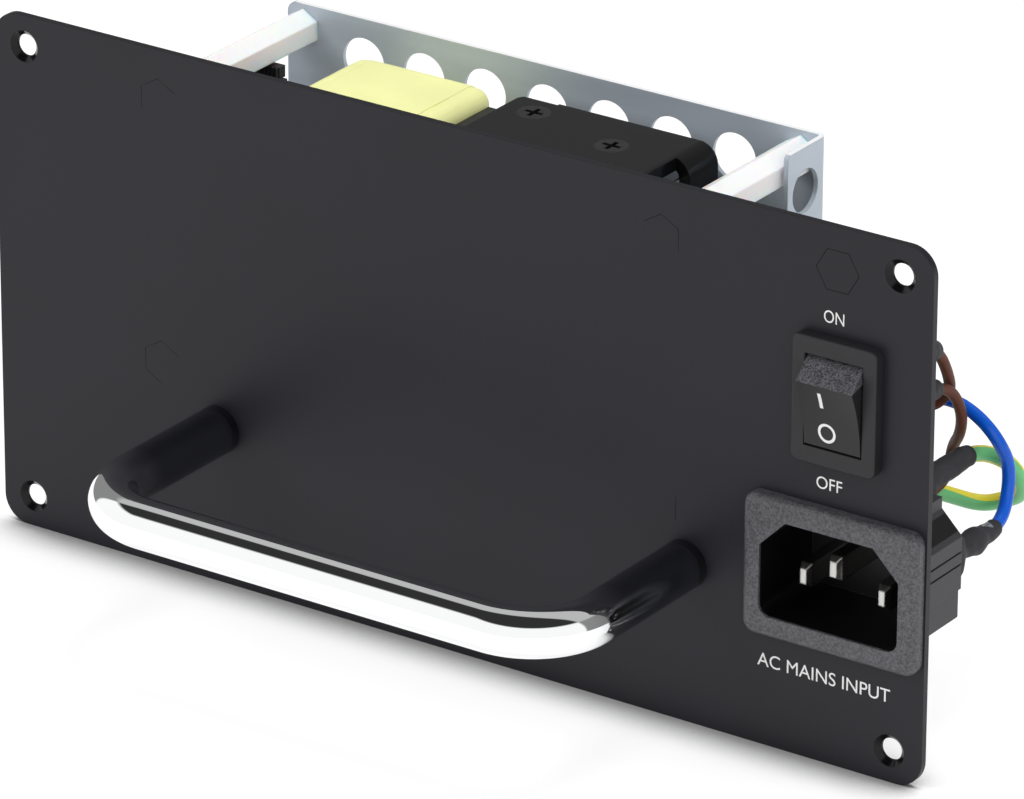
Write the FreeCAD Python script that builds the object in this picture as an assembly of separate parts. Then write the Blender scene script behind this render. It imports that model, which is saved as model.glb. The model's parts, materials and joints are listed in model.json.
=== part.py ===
import FreeCAD, Part
import math
import os

from FreeCAD import Vector as V

# Plug-in power supply module of a two-unit server chassis.
# Millimetres. Origin: centre of the four panel holes, on the panel's rear (seating) face.
# +X runs to the mains side, -Y to the operator, +Y into the chassis, +Z up.

# ---------------------------------------------------------------- driving dimensions
PANEL_W, PANEL_H, PANEL_T, PANEL_CORNER_R = 174.0, 88.1, 1.2, 4.5
PANEL_HOLE_X, PANEL_HOLE_Z, PANEL_HOLE_R = 81.2, 38.85, 1.8
COUNTERSINK_R, COUNTERSINK_DEPTH = 2.65, 0.8
FRONT = -PANEL_T                       # front face of the panel
CLINCH_HEAD, STUD_HEAD, CLINCH_SINK = 6.4, 7.2, 0.7    # pressed-in hexagon heads and how deep they sit

BAR_R, HANDLE_HALF, HANDLE_Z = 4.0, 44.0, -17.6
HANDLE_REACH, HANDLE_BEND_R = 35.5, 12.0
HANDLE_TAP_R, HANDLE_TAP_DEPTH = 2.0, 11.0

HOLE_SPAN_X, HOLE_SPAN_Z = 94.0, 44.45         # board hole pattern
PILLAR_LEFT, PILLAR_TOP = -55.0, 35.6          # one corner of that pattern
SPACER_LEN, PILLAR_LEN = 6.0, 30.0
BOARD_W, BOARD_H, BOARD_T = 101.6, 50.8, 1.6
BOARD_CORNER_R, BOARD_HOLE_R = 1.5, 1.7
HEX_SIZE = 5.5                                 # across the flats
M3_R, M4_R = 1.5, 2.0

WALL_T, WALL_BEND_R = 0.8, 0.6
WALL_LEFT_MARGIN, WALL_RIGHT_MARGIN, WALL_END_MARGIN = 3.1, 4.3, 4.0
WALL_CORNER_R, FLANGE_CORNER_R, FLANGE_LEN = 1.8, 0.9, 10.3
VENT_R, VENT_PITCH, VENT_COLUMNS, VENT_ROWS = 4.0, 11.7, 7, 4
VENT_FIRST_X, VENT_TOP_Z = -43.3, 32.3
FLANGE_VENT_R, FLANGE_VENT_INSET = 3.6, 5.0    # inset from the flange's front edge

SINK_TOP, SINK_T = 37.0, 2.0
SINK_LEFT, SINK_RIGHT, SINK_FAR, SINK_BEND_R = -7.9, 28.5, 30.6, 3.4
SINK_LEG_LOW, SINK_RELIEF_X, SINK_RELIEF_Y = 22.5, 25.9, 22.7      # leg's lower end; notch at the bend
SINK_SCREWS = ((-2.3, 25.5), (15.2, 21.0))     # through the plate, in X and Y
LEG_SCREW = (26.9, 27.6)                       # through the leg, in Y and Z
PAD_T, TAB_THICK, PACKAGE_T = 0.3, 1.3, 4.4    # insulating pad, package tab and whole package
OUT_LEFT, OUT_RIGHT, OUT_LOW, OUT_HIGH, OUT_BACK = -57.6, -51.2, -4.6, 31.6, 27.0
IN_X, IN_Z, IN_BACK, IN_PITCH = 38.4, 8.0, 19.0, 3.96

SWITCH_X, SWITCH_Z = 71.2, 16.15
SWITCH_BEZEL_W, SWITCH_BEZEL_H, SWITCH_BEZEL_T = 14.8, 20.6, 2.0
SWITCH_BODY_W, SWITCH_BODY_H, SWITCH_DEPTH = 12.9, 18.9, 12.5
SWITCH_OPEN_W, SWITCH_OPEN_H, SWITCH_LIP_T = 10.3, 15.0, 1.0
SWITCH_CAVITY_H, SWITCH_FLOOR_T = 17.2, 1.8
ROCKER_W, ROCKER_TILT = 9.9, 14.04             # tilt of either end position from the middle
ROCKER_PIVOT_Y, ROCKER_RIDGE_Z, ROCKER_RIDGE_F = 1.83, 5.67, 6.60
ROCKER_BEVEL_Z, ROCKER_BEVEL_F, ROCKER_DISH = 7.53, 3.30, 0.55
TRUNNION_R, TRUNNION_CLEARANCE = 1.2, 0.05
PLUNGER_R, SPRING_R, SPRING_WIRE = 1.0, 0.9, 0.3
CONTACT_Y, CONTACT_TILT = 8.9, 7.0
TERMINAL_PITCH = 7.0

INLET_X, INLET_Z = 71.2, -13.1
INLET_BEZEL_W, INLET_BEZEL_H, INLET_BEZEL_T = 31.0, 23.4, 2.4
INLET_OPEN_W, INLET_OPEN_H, INLET_OPEN_CHAMFER = 24.7, 16.3, 4.6
INLET_DEPTH, INLET_FLOOR_T = 13.2, 1.6
INLET_BODY_HALF_W, INLET_BODY_BOTTOM, INLET_BODY_SIDE, INLET_BODY_TOP = 13.2, -9.3, 5.3, 9.0
PIN_PITCH, PIN_W, PIN_H, PIN_LOW, PIN_HIGH = 14.0, 2.0, 4.0, -1.9, 2.1
TAB_W, TAB_T, TAB_LEN = 4.8, 0.8, 7.3
EARTH_TAB_RISE = 4.8                           # the earth tab stands this far above its blade
SLEEVE_WIDE, SLEEVE_SLIM, SLEEVE_T = 3.6, 2.1, 0.55   # half sizes and wall
CRIMP_INSET = 3.4                              # a crimp ends this far inside its sleeve
SWITCH_DROOP = 0.9                             # the leads pull the switch sleeves' ends down
SWITCH_SLEEVES = ((SWITCH_Z, 26.6), (SWITCH_Z - TERMINAL_PITCH, 27.2))      # height, rear end
INLET_SLEEVES = ((-PIN_PITCH / 2, PIN_LOW, 34.0), (PIN_PITCH / 2, PIN_LOW, 34.6),
                 (0.0, PIN_HIGH + EARTH_TAB_RISE, 38.0))                    # offset, height, rear end

EARTH_X, EARTH_Z, EARTH_ANGLE, EARTH_BARREL = 70.8, 36.4, 215.0, 12.0
LEAD_RADII = {"line_lead": 0.9, "switched_lead": 0.9, "neutral_lead": 1.05, "earth_lead": 1.3}
LEAD_SIDES = 6
LEAD_ARC_SHARE = 0.45                          # of the shorter run that each bend takes
CUT_CLEARANCE = 0.15

# ---------------------------------------------------------------- derived places
BOARD_FRONT = SPACER_LEN
BOARD_BACK = BOARD_FRONT + BOARD_T
WALL_Y = BOARD_BACK + PILLAR_LEN
PILLAR_XS = (PILLAR_LEFT, PILLAR_LEFT + HOLE_SPAN_X)
PILLAR_ZS = (PILLAR_TOP - HOLE_SPAN_Z, PILLAR_TOP)
PILLARS = [(x, z) for x in PILLAR_XS for z in PILLAR_ZS]
BOARD_X = sum(PILLAR_XS) / 2
BOARD_Z = sum(PILLAR_ZS) / 2
SWITCH_FRONT = FRONT - SWITCH_BEZEL_T
SWITCH_FLOOR = SWITCH_DEPTH - SWITCH_FLOOR_T
INLET_FRONT = FRONT - INLET_BEZEL_T
INLET_FLOOR = INLET_DEPTH - INLET_FLOOR_T
X_AXIS, Y_AXIS, Z_AXIS = V(1, 0, 0), V(0, 1, 0), V(0, 0, 1)

LEG_TIP = BOARD_FRONT - 1.0            # soldered legs end this far through the board
NODES = {}
BOARD_LEGS = []


# ---------------------------------------------------------------- small tools
def box(x0, x1, y0, y1, z0, z1):
    return Part.makeBox(x1 - x0, y1 - y0, z1 - z0, V(x0, y0, z0))


def rod(radius, x, y0, y1, z):
    """Round bar along Y."""
    return Part.makeCylinder(radius, y1 - y0, V(x, y0, z), Y_AXIS)


def cross_rod(radius, x0, x1, y, z):
    """Round bar along X."""
    return Part.makeCylinder(radius, x1 - x0, V(x0, y, z), X_AXIS)


def ring(outer, inner, x, y0, y1, z):
    return rod(outer, x, y0, y1, z).cut(rod(inner, x, y0 - 1, y1 + 1, z))


def slab(outline, y0, y1):
    """Plate whose outline is a list of (x, z) corners."""
    corners = [V(x, y0, z) for x, z in outline]
    face = Part.Face(Part.makePolygon(corners + corners[:1]))
    return face.extrude(V(0, y1 - y0, 0))


def side_slab(outline, x0, x1):
    """Plate across X whose outline is a list of (y, z) corners."""
    corners = [V(x0, y, z) for y, z in outline]
    face = Part.Face(Part.makePolygon(corners + corners[:1]))
    return face.extrude(V(x1 - x0, 0, 0))


def hexagon(size, x, z):
    """Corners of a hexagon that stands on a point."""
    radius = size / math.sqrt(3)
    angles = [math.radians(30 + 60 * i) for i in range(6)]
    return [(x + radius * math.cos(a), z + radius * math.sin(a)) for a in angles]


def runs_along(edge, axis):
    if not isinstance(edge.Curve, (Part.Line, Part.LineSegment)):
        return False
    return abs(edge.tangentAt(edge.FirstParameter).dot(axis)) > 0.999


def soften(shape, radius, axis, keep=lambda centre: True):
    """Round the straight edges that run along an axis."""
    edges = [e for e in shape.Edges if runs_along(e, axis) and keep(e.CenterOfMass)]
    return shape.makeFillet(radius, edges)


def soften_rim(shape, radius, y):
    """Round every edge that lies in the plane at y."""
    edges = [e for e in shape.Edges if abs(e.BoundBox.YMin - y) < 1e-4 and abs(e.BoundBox.YMax - y) < 1e-4]
    return shape.makeFillet(radius, edges)


def bevel_rim(shape, size, y):
    """Bevel every edge that lies in the plane at y."""
    edges = [e for e in shape.Edges if abs(e.BoundBox.YMin - y) < 1e-4 and abs(e.BoundBox.YMax - y) < 1e-4]
    return shape.makeChamfer(size, edges)


def closed_solid(faces):
    """Solid bounded by loose faces that meet edge to edge."""
    shell = Part.Shell(faces)
    shell.sewShape()
    solid = Part.Solid(shell)
    if solid.Volume < 0:
        solid.reverse()
    return solid


def skin(sections):
    """Solid between matching outlines, with one flat face for each pair of edges."""
    faces = [Part.Face(Part.makePolygon(corners + corners[:1])) for corners in (sections[0], sections[-1])]
    for near, far in zip(sections, sections[1:]):
        for i in range(len(near)):
            j = (i + 1) % len(near)
            faces.append(Part.Face(Part.makePolygon([near[i], near[j], far[j], far[i], near[i]])))
    return closed_solid(faces)


def rounded_box(x, z, width, height, y0, y1, radius):
    solid = box(x - width / 2, x + width / 2, y0, y1, z - height / 2, z + height / 2)
    return soften(solid, radius, Y_AXIS)


def turned(shape, degrees, y, z):
    """Turn about a line along X; positive lifts the rear and drops the front."""
    copy = shape.copy()
    copy.rotate(V(0, y, z), X_AXIS, degrees)
    return copy


def join(shapes):
    first = shapes[0]
    return first.fuse(shapes[1:]).removeSplitter() if len(shapes) > 1 else first


def cut(shape, tools):
    return shape.cut(Part.makeCompound(tools))


def add(name, *solids):
    NODES[name] = solids[0] if len(solids) == 1 else Part.makeCompound(list(solids))


# ---------------------------------------------------------------- legs and screws
def flat_leg(x, z, width, thick, top):
    leg = box(x - width / 2, x + width / 2, LEG_TIP, top, z - thick / 2, z + thick / 2)
    BOARD_LEGS.append(leg)
    return leg


def pan_screw(radius, head_r, head_h, x, z, seat, tip, driver):
    """Pan-head screw along Y; the head is on the far side of the seat from the tip."""
    away = 1 if seat > tip else -1
    shank = rod(radius, x, min(seat, tip), max(seat, tip), z)
    top = seat + away * head_h
    head = rod(head_r, x, min(seat, top), max(seat, top), z)
    head = bevel_rim(head, head_h * 0.4, top)
    blades = []
    for half_x, half_z in ((driver, driver * 0.22), (driver * 0.22, driver)):
        ends = sorted((top - away * head_h * 0.6, top + away))
        blades.append(box(x - half_x, x + half_x, ends[0], ends[1], z - half_z, z + half_z))
    return cut(shank.fuse(head), blades)


# ---------------------------------------------------------------- front panel and handle
def switch_cutout(y0, y1):
    width, height = SWITCH_BODY_W + 2 * CUT_CLEARANCE, SWITCH_BODY_H + 2 * CUT_CLEARANCE
    half_w, half_h = width / 2, height / 2
    return box(SWITCH_X - half_w, SWITCH_X + half_w, y0, y1, SWITCH_Z - half_h, SWITCH_Z + half_h)


def inlet_body_outline(grow=0.0):
    half, low = INLET_BODY_HALF_W + grow, INLET_BODY_BOTTOM - grow
    side, top = INLET_BODY_SIDE + grow * 0.4, INLET_BODY_TOP + grow
    shoulder = half - (top - side)
    outline = [(-half, low), (half, low), (half, side), (shoulder, top), (-shoulder, top), (-half, side)]
    return [(INLET_X + x, INLET_Z + z) for x, z in outline]


def front_panel():
    sheet = rounded_box(0, 0, PANEL_W, PANEL_H, FRONT, 0, PANEL_CORNER_R)
    tools = [switch_cutout(FRONT - 1, 1), slab(inlet_body_outline(CUT_CLEARANCE), FRONT - 1, 1)]
    for x in (-PANEL_HOLE_X, PANEL_HOLE_X):
        for z in (-PANEL_HOLE_Z, PANEL_HOLE_Z):
            tools.append(rod(PANEL_HOLE_R, x, FRONT - 1, 1, z))
            mouth = V(x, FRONT, z)
            tools.append(Part.makeCone(COUNTERSINK_R, PANEL_HOLE_R, COUNTERSINK_DEPTH, mouth, Y_AXIS))
    for x in (-HANDLE_HALF, HANDLE_HALF):
        tools.append(rod(M4_R + 0.15, x, FRONT - 1, 1, HANDLE_Z))
    for x, z in PILLARS:
        tools.append(slab(hexagon(CLINCH_HEAD, x, z), -CLINCH_SINK, 1))
    tools.append(slab(hexagon(STUD_HEAD, EARTH_X, EARTH_Z), -CLINCH_SINK, 1))
    add("front_panel", cut(sheet, tools))


def handle():
    """Bent round bar with a tapped hole in each foot."""
    reach, bend, half = FRONT - HANDLE_REACH, HANDLE_BEND_R, HANDLE_HALF
    z = HANDLE_Z
    pieces = [cross_rod(BAR_R, bend - half, half - bend, reach, z)]
    for side in (-1, 1):
        x = side * half
        pieces.append(rod(BAR_R, x, reach + bend, FRONT, z))
        section = Part.Face(Part.Wire(Part.makeCircle(BAR_R, V(x, reach + bend, z), Y_AXIS)))
        pieces.append(section.revolve(V(x - side * bend, reach + bend, z), Z_AXIS, -side * 90))
    bar = join(pieces)
    taps = [rod(HANDLE_TAP_R, x, FRONT - HANDLE_TAP_DEPTH, FRONT + 1, z) for x in (-half, half)]
    add("handle", cut(bar, taps))
    washers = [ring(3.9, M4_R + 0.1, x, 0, 0.8, z) for x in (-half, half)]
    add("handle_washers", *washers)
    screws = [pan_screw(M4_R, 3.8, 2.4, x, z, 0.8, FRONT - HANDLE_TAP_DEPTH + 2, 2.1) for x in (-half, half)]
    add("handle_screws", *screws)


# ---------------------------------------------------------------- pillars and rear bracket
def pillars():
    spacers, columns, screws = [], [], []
    stud_len, screw_len = 5.0, 7.0
    for x, z in PILLARS:
        head = slab(hexagon(CLINCH_HEAD, x, z), -CLINCH_SINK, 0)
        barrel = ring(2.7, M3_R, x, 0, SPACER_LEN, z)
        spacers.append(head.fuse(barrel).removeSplitter())
        column = slab(hexagon(HEX_SIZE, x, z), BOARD_BACK, WALL_Y)
        column = column.fuse(rod(M3_R, x, BOARD_BACK - stud_len, BOARD_BACK, z))
        columns.append(column.cut(rod(M3_R, x, WALL_Y - screw_len - 2, WALL_Y + 1, z)))
        screws.append(pan_screw(M3_R, 2.8, 2.0, x, z, WALL_Y + WALL_T, WALL_Y - screw_len, 1.7))
    add("clinch_spacers", *spacers)
    add("nylon_pillars", *columns)
    add("bracket_screws", *screws)


def rear_bracket():
    """Sheet bent once: a vented wall behind the board and a flange on the mains side."""
    left, right = PILLAR_XS[0] - WALL_LEFT_MARGIN, PILLAR_XS[1] + WALL_RIGHT_MARGIN
    low, high = PILLAR_ZS[0] - WALL_END_MARGIN, PILLAR_ZS[1] + WALL_END_MARGIN
    back, tip = WALL_Y + WALL_T, WALL_Y - FLANGE_LEN
    wall = box(left, right, WALL_Y, back, low, high)
    flange = box(right - WALL_T, right, tip, back, low, high)
    sheet = wall.fuse(flange).removeSplitter()
    inner, outer = V(right - WALL_T, WALL_Y, 0), V(right, back, 0)
    for corner, radius in ((inner, WALL_BEND_R), (outer, WALL_BEND_R + WALL_T)):
        sheet = soften(sheet, radius, Z_AXIS, lambda c: math.hypot(c.x - corner.x, c.y - corner.y) < 0.01)
    sheet = soften(sheet, WALL_CORNER_R, Y_AXIS, lambda c: c.x < left + 0.1)
    sheet = soften(sheet, FLANGE_CORNER_R, X_AXIS, lambda c: c.y < tip + 0.1)
    tools = [rod(M3_R + 0.2, x, WALL_Y - 1, back + 1, z) for x, z in PILLARS]
    for row in range(VENT_ROWS):
        z = VENT_TOP_Z - row * VENT_PITCH
        tools.append(cross_rod(FLANGE_VENT_R, right - WALL_T - 1, right + 1, tip + FLANGE_VENT_INSET, z))
        for column in range(VENT_COLUMNS):
            tools.append(rod(VENT_R, VENT_FIRST_X + column * VENT_PITCH, WALL_Y - 1, back + 1, z))
    add("rear_bracket", cut(sheet, tools))


# ---------------------------------------------------------------- circuit board and its parts
def circuit_board():
    board = rounded_box(BOARD_X, BOARD_Z, BOARD_W, BOARD_H, BOARD_FRONT, BOARD_BACK, BOARD_CORNER_R)
    holes = [rod(BOARD_HOLE_R, x, BOARD_FRONT - 1, BOARD_BACK + 1, z) for x, z in PILLARS]
    add("circuit_board", cut(board, holes + BOARD_LEGS))


def transformer():
    """Taped winding on a ferrite E-core pair, standing on a pinned bobbin foot."""
    left, right, low, high = -38.6, -14.7, 11.0, 36.5
    near, far, cheek = 12.0, 32.2, 2.4
    yoke_low, yoke_high = low + 2.0, high - 2.8
    leg_y0, leg_y1, leg_z = near + 4.5, far - 4.5, (low + high) / 2
    cheeks = [box(left - cheek, left, near, far - 2.0, yoke_low, yoke_high),
              box(right, right + cheek, near, far - 2.0, yoke_low, yoke_high)]
    legs = [box(left, right, leg_y0, leg_y1, leg_z - 3.6, leg_z + 3.6)]
    core = join(cheeks + legs)
    add("transformer_core", core)
    winding = box(left, right, near, far, low, high)
    winding = soften(winding, 2.6, X_AXIS)
    add("transformer_winding", winding.cut(core))
    foot = rounded_box((left + right) / 2, (low + high) / 2, 28.0, 23.0, BOARD_BACK, near, 1.0)
    pins = []
    for i in range(5):
        for z in (low + 2.5, high - 2.5):
            x = (left + right) / 2 + (i - 2) * 5.0
            pins.append(flat_leg(x, z, 0.8, 0.8, BOARD_BACK))
    add("transformer_bobbin", foot)
    add("transformer_pins", *pins)


def flush_screw(radius, head_r, tip):
    """Countersunk cross-recess screw down the Z axis, its head flush with z = 0."""
    head_h = head_r - radius
    shank = Part.makeCylinder(radius, -head_h - tip, V(0, 0, tip), Z_AXIS)
    head = Part.makeCone(radius, head_r, head_h, V(0, 0, -head_h), Z_AXIS)
    blades = []
    for half_x, half_y in ((head_r * 0.6, 0.4), (0.4, head_r * 0.6)):
        blades.append(box(-half_x, half_x, -half_y, half_y, -1.0, 1.0))
    return cut(shank.fuse(head), blades)


def primary_heatsink():
    """Anodised plate on edge along the board's upper side, with its mains end bent down."""
    low, head_r = SINK_TOP - SINK_T, M3_R + 1.2
    plate = box(SINK_LEFT, SINK_RIGHT, BOARD_BACK, SINK_FAR, low, SINK_TOP)
    leg = box(SINK_RIGHT - SINK_T, SINK_RIGHT, BOARD_BACK, SINK_FAR, SINK_LEG_LOW, SINK_TOP)
    sheet = plate.fuse(leg).removeSplitter()
    sheet = soften(sheet, SINK_BEND_R, Y_AXIS,
                   lambda c: math.hypot(c.x - SINK_RIGHT, c.z - SINK_TOP) < 0.01)
    sheet = soften(sheet, SINK_BEND_R - SINK_T, Y_AXIS,
                   lambda c: math.hypot(c.x - SINK_RIGHT + SINK_T, c.z - low) < 0.01)
    sheet = soften(sheet, 2.0, Z_AXIS, lambda c: c.x < SINK_LEFT + 0.1 and c.y > SINK_FAR - 0.1)
    step = box(SINK_LEFT - 1, -1.0, SINK_FAR - 0.5, SINK_FAR + 1, low - 1, SINK_TOP + 1)
    relief = box(SINK_RELIEF_X, SINK_RIGHT + 1, BOARD_BACK - 1, SINK_RELIEF_Y, SINK_LEG_LOW - 1, SINK_TOP + 1)
    slots = [box(x, x + 4.0, BOARD_BACK - 1, BOARD_BACK + 2.5, low - 1, SINK_TOP + 1)
             for x in (-3.0, 8.0, 19.0)]
    screw = flush_screw(M3_R, head_r, -6.8)
    screws = []
    for x, y in SINK_SCREWS:
        screws.append(screw.translated(V(x, y, SINK_TOP)))
    side_screw = screw.copy()
    side_screw.rotate(V(0, 0, 0), Y_AXIS, 90)
    screws.append(side_screw.translated(V(SINK_RIGHT, *LEG_SCREW)))
    holes = []
    for x, y in SINK_SCREWS:
        holes.append(Part.makeCylinder(M3_R, SINK_T + 2, V(x, y, low - 1), Z_AXIS))
        holes.append(Part.makeCone(M3_R, head_r, head_r - M3_R, V(x, y, SINK_TOP - head_r + M3_R), Z_AXIS))
    y, z = LEG_SCREW
    holes.append(cross_rod(M3_R, SINK_RIGHT - SINK_T - 1, SINK_RIGHT + 1, y, z))
    holes.append(Part.makeCone(M3_R, head_r, head_r - M3_R, V(SINK_RIGHT - head_r + M3_R, y, z), X_AXIS))
    add("primary_heatsink", cut(sheet, [step, relief] + slots + holes))
    add("heatsink_screws", *screws)


def tab_package(half_w, y0, tab_y0, y1):
    """Tabbed package lying under z = 0, its tab up and its legs towards the board."""
    tab = box(-half_w, half_w, y0, y1, -TAB_THICK, 0)
    moulding = box(-half_w, half_w, y0, tab_y0, -PACKAGE_T, -TAB_THICK)
    legs = [box(x - 0.4, x + 0.4, LEG_TIP, y0, -2.9, -2.4) for x in (-2.54, 0, 2.54)]
    return join([tab, moulding] + legs), legs


def power_transistors():
    """Two tabbed packages clamped under the plate and one inside its leg, on grey pads."""
    bodies, pads = [], []
    half_w, tab_y0, tab_y1, length = 5.0, -3.4, 2.8, 12.4
    places = [(V(x, 0, SINK_TOP - SINK_T - PAD_T), 0, y) for x, y in SINK_SCREWS]
    places.append((V(SINK_RIGHT - SINK_T - PAD_T, 0, LEG_SCREW[1]), 90, LEG_SCREW[0]))
    for spot, degrees, y in places:
        body, legs = tab_package(half_w, y - length, y + tab_y0, y + tab_y1)
        bore = Part.makeCylinder(M3_R + 0.1, 20, V(0, y, -10), Z_AXIS)
        pad = box(-half_w - 0.6, half_w + 0.6, y - length - 0.6, y + tab_y1 + 0.6, 0, PAD_T)
        for shape in [body, bore, pad] + legs:
            shape.rotate(V(0, 0, 0), Y_AXIS, degrees)
            shape.translate(spot)
        bodies.append(body.cut(bore))
        pads.append(pad.cut(bore))
        BOARD_LEGS.extend(legs)
    add("power_transistors", *bodies)
    add("insulating_pads", *pads)


def can(radius, height, x, z):
    """Electrolytic capacitor: round can with a bevelled top edge."""
    body = rod(radius, x, BOARD_BACK, BOARD_BACK + height, z)
    return bevel_rim(body, 0.7, BOARD_BACK + height)


def capacitors():
    add("bulk_capacitor", can(8.0, 25.0, 5.0, 20.2))
    places = [(-45.7, 26.5), (-45.7, 17.6), (-45.7, 8.7), (-36.2, 5.4)]
    add("output_capacitors", *[can(4.0, 16.0, x, z) for x, z in places])
    x_cap = box(17.0, 30.0, BOARD_BACK, BOARD_BACK + 12.0, -4.9, 1.1)
    add("x_capacitor", soften(x_cap, 0.6, Y_AXIS))
    discs = []
    for x in (-9.0, 1.5):
        disc = Part.makeCylinder(4.0, 3.6, V(x, BOARD_BACK + 5.6, -6.8), Z_AXIS)
        legs = [flat_leg(x + side * 2.5, -5.0, 0.6, 0.6, BOARD_BACK + 4.0) for side in (-1, 1)]
        discs.append(join([disc] + legs))
    add("y_capacitors", *discs)


def line_filter():
    """Common-mode choke, thermistor and fuse at the mains end of the board."""
    x, z, y0, y1 = 25.6, 12.4, BOARD_BACK + 1.0, BOARD_BACK + 9.0
    core = ring(6.6, 3.6, x, y0, y1, z)
    add("choke_core", core)
    turns = []
    for start in (-62, 118):
        for i in range(7):
            turn = box(x + 2.9, x + 7.2, y0 - 0.6, y1 + 0.6, z - 0.42, z + 0.42)
            turn = turn.cut(box(x + 3.5, x + 6.62, y0, y1, z - 1, z + 1))
            turn.rotate(V(x, 0, z), Y_AXIS, -start - i * 20.5)
            turns.append(turn)
    foot = ring(7.2, 5.0, x, BOARD_BACK, y0 - 0.6, z)
    add("choke_base", foot)
    add("choke_windings", *turns)
    disc = Part.makeCylinder(4.4, 4.0, V(36.0, BOARD_BACK + 6.0, 20.0), Z_AXIS)
    legs = [flat_leg(36.0 + side * 2.5, 22.0, 0.7, 0.7, BOARD_BACK + 4.0) for side in (-1, 1)]
    add("thermistor", join([disc] + legs))
    fuse_y, fuse_z, fuse_x0, fuse_x1 = BOARD_BACK + 3.6, -8.4, 12.0, 32.0
    tube = cross_rod(2.4, fuse_x0 + 5, fuse_x1 - 5, fuse_y, fuse_z)
    add("fuse_tube", tube)
    caps = [cross_rod(2.6, x, x + 5, fuse_y, fuse_z) for x in (fuse_x0, fuse_x1 - 5)]
    feet = [box(fuse_x0 + 1.5, fuse_x0 + 3.5, BOARD_BACK, fuse_y - 2.0, fuse_z - 1.5, fuse_z + 1.5),
            box(fuse_x1 - 3.5, fuse_x1 - 1.5, BOARD_BACK, fuse_y - 2.0, fuse_z - 1.5, fuse_z + 1.5)]
    add("fuse_caps", caps[0].fuse(feet[0]), caps[1].fuse(feet[1]))


def rectifiers():
    """Bridge on the primary side; output diode on its own finned plate on the other."""
    bridge = box(-3.0, 12.0, BOARD_BACK + 1.5, BOARD_BACK + 12.5, 3.4, 7.0)
    bridge = soften(bridge, 0.8, Y_AXIS)
    legs = [flat_leg(x, 5.2, 0.8, 0.6, BOARD_BACK + 1.5) for x in (-1.2, 2.6, 6.4, 10.2)]
    add("bridge_rectifier", join([bridge] + legs))
    plate = box(-47.0, -17.0, BOARD_BACK, BOARD_BACK + 19.0, -8.6, -6.8)
    fins = [box(x, x + 1.0, BOARD_BACK + 3.0, BOARD_BACK + 19.0, -11.8, -8.6) for x in
            [-47.0 + i * 3.22 for i in range(10)]]
    add("secondary_heatsink", join([plate] + fins))
    x, top = -32.0, -6.8
    tab = box(x - 5.0, x + 5.0, BOARD_BACK + 3.0, BOARD_BACK + 18.2, top, top + 1.3)
    moulding = box(x - 5.0, x + 5.0, BOARD_BACK + 3.0, BOARD_BACK + 12.0, top + 1.3, top + 4.4)
    legs = [flat_leg(x + i * 2.54, top + 2.55, 0.8, 0.5, BOARD_BACK + 3.0) for i in (-1, 0, 1)]
    add("output_rectifier", join([tab, moulding] + legs))


def small_parts():
    """Output inductor, optocoupler, control chip and the two board connectors."""
    drum = rod(4.6, -22.5, BOARD_BACK, BOARD_BACK + 1.4, 4.6)
    drum = join([drum, rod(2.2, -22.5, BOARD_BACK, BOARD_BACK + 12.0, 4.6),
                 rod(4.6, -22.5, BOARD_BACK + 10.6, BOARD_BACK + 12.0, 4.6)])
    add("output_inductor_core", drum)
    add("output_inductor_coil", ring(4.0, 2.2, -22.5, BOARD_BACK + 1.4, BOARD_BACK + 10.6, 4.6))
    opto = soften(box(-12.2, -7.6, BOARD_BACK, BOARD_BACK + 3.6, 2.0, 8.4), 0.4, Y_AXIS)
    add("optocoupler", opto)
    chip = soften(box(-11.2, -4.8, BOARD_BACK, BOARD_BACK + 3.4, 18.0, 27.6), 0.4, Y_AXIS)
    add("control_chip", chip)
    ribs = [box(OUT_LEFT, OUT_RIGHT + 0.6, BOARD_BACK + 9.0, OUT_BACK, z, z + 1.2)
            for z in [OUT_LOW + 0.8 + i * 2.6 for i in range(14)]]
    block = box(OUT_LEFT, OUT_RIGHT, BOARD_BACK, OUT_BACK - 0.8, OUT_LOW, OUT_HIGH)
    sockets = [box(OUT_LEFT + 2.4, OUT_RIGHT - 2.4, OUT_BACK - 8.0, OUT_BACK + 1, z - 1.2, z + 1.2)
               for z in [OUT_LOW + 4.2 + i * 4.6 for i in range(7)]]
    add("output_connector", join([block] + ribs).cut(Part.makeCompound(sockets)))
    header = box(IN_X - 3.0, IN_X + 3.0, BOARD_BACK, BOARD_BACK + 8.0, IN_Z - 6.6, IN_Z + 6.6)
    well = box(IN_X - 2.2, IN_X + 2.2, BOARD_BACK + 1.5, BOARD_BACK + 9.0, IN_Z - 5.8, IN_Z + 5.8)
    add("input_header", header.cut(well))
    plug = box(IN_X - 2.2, IN_X + 2.2, BOARD_BACK + 1.5, IN_BACK, IN_Z - 5.8, IN_Z + 5.8)
    latch = box(IN_X - 3.6, IN_X - 2.2, BOARD_BACK + 8.0, IN_BACK - 0.5, IN_Z - 2.0, IN_Z + 2.0)
    add("input_plug", join([plug, latch]))


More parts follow.
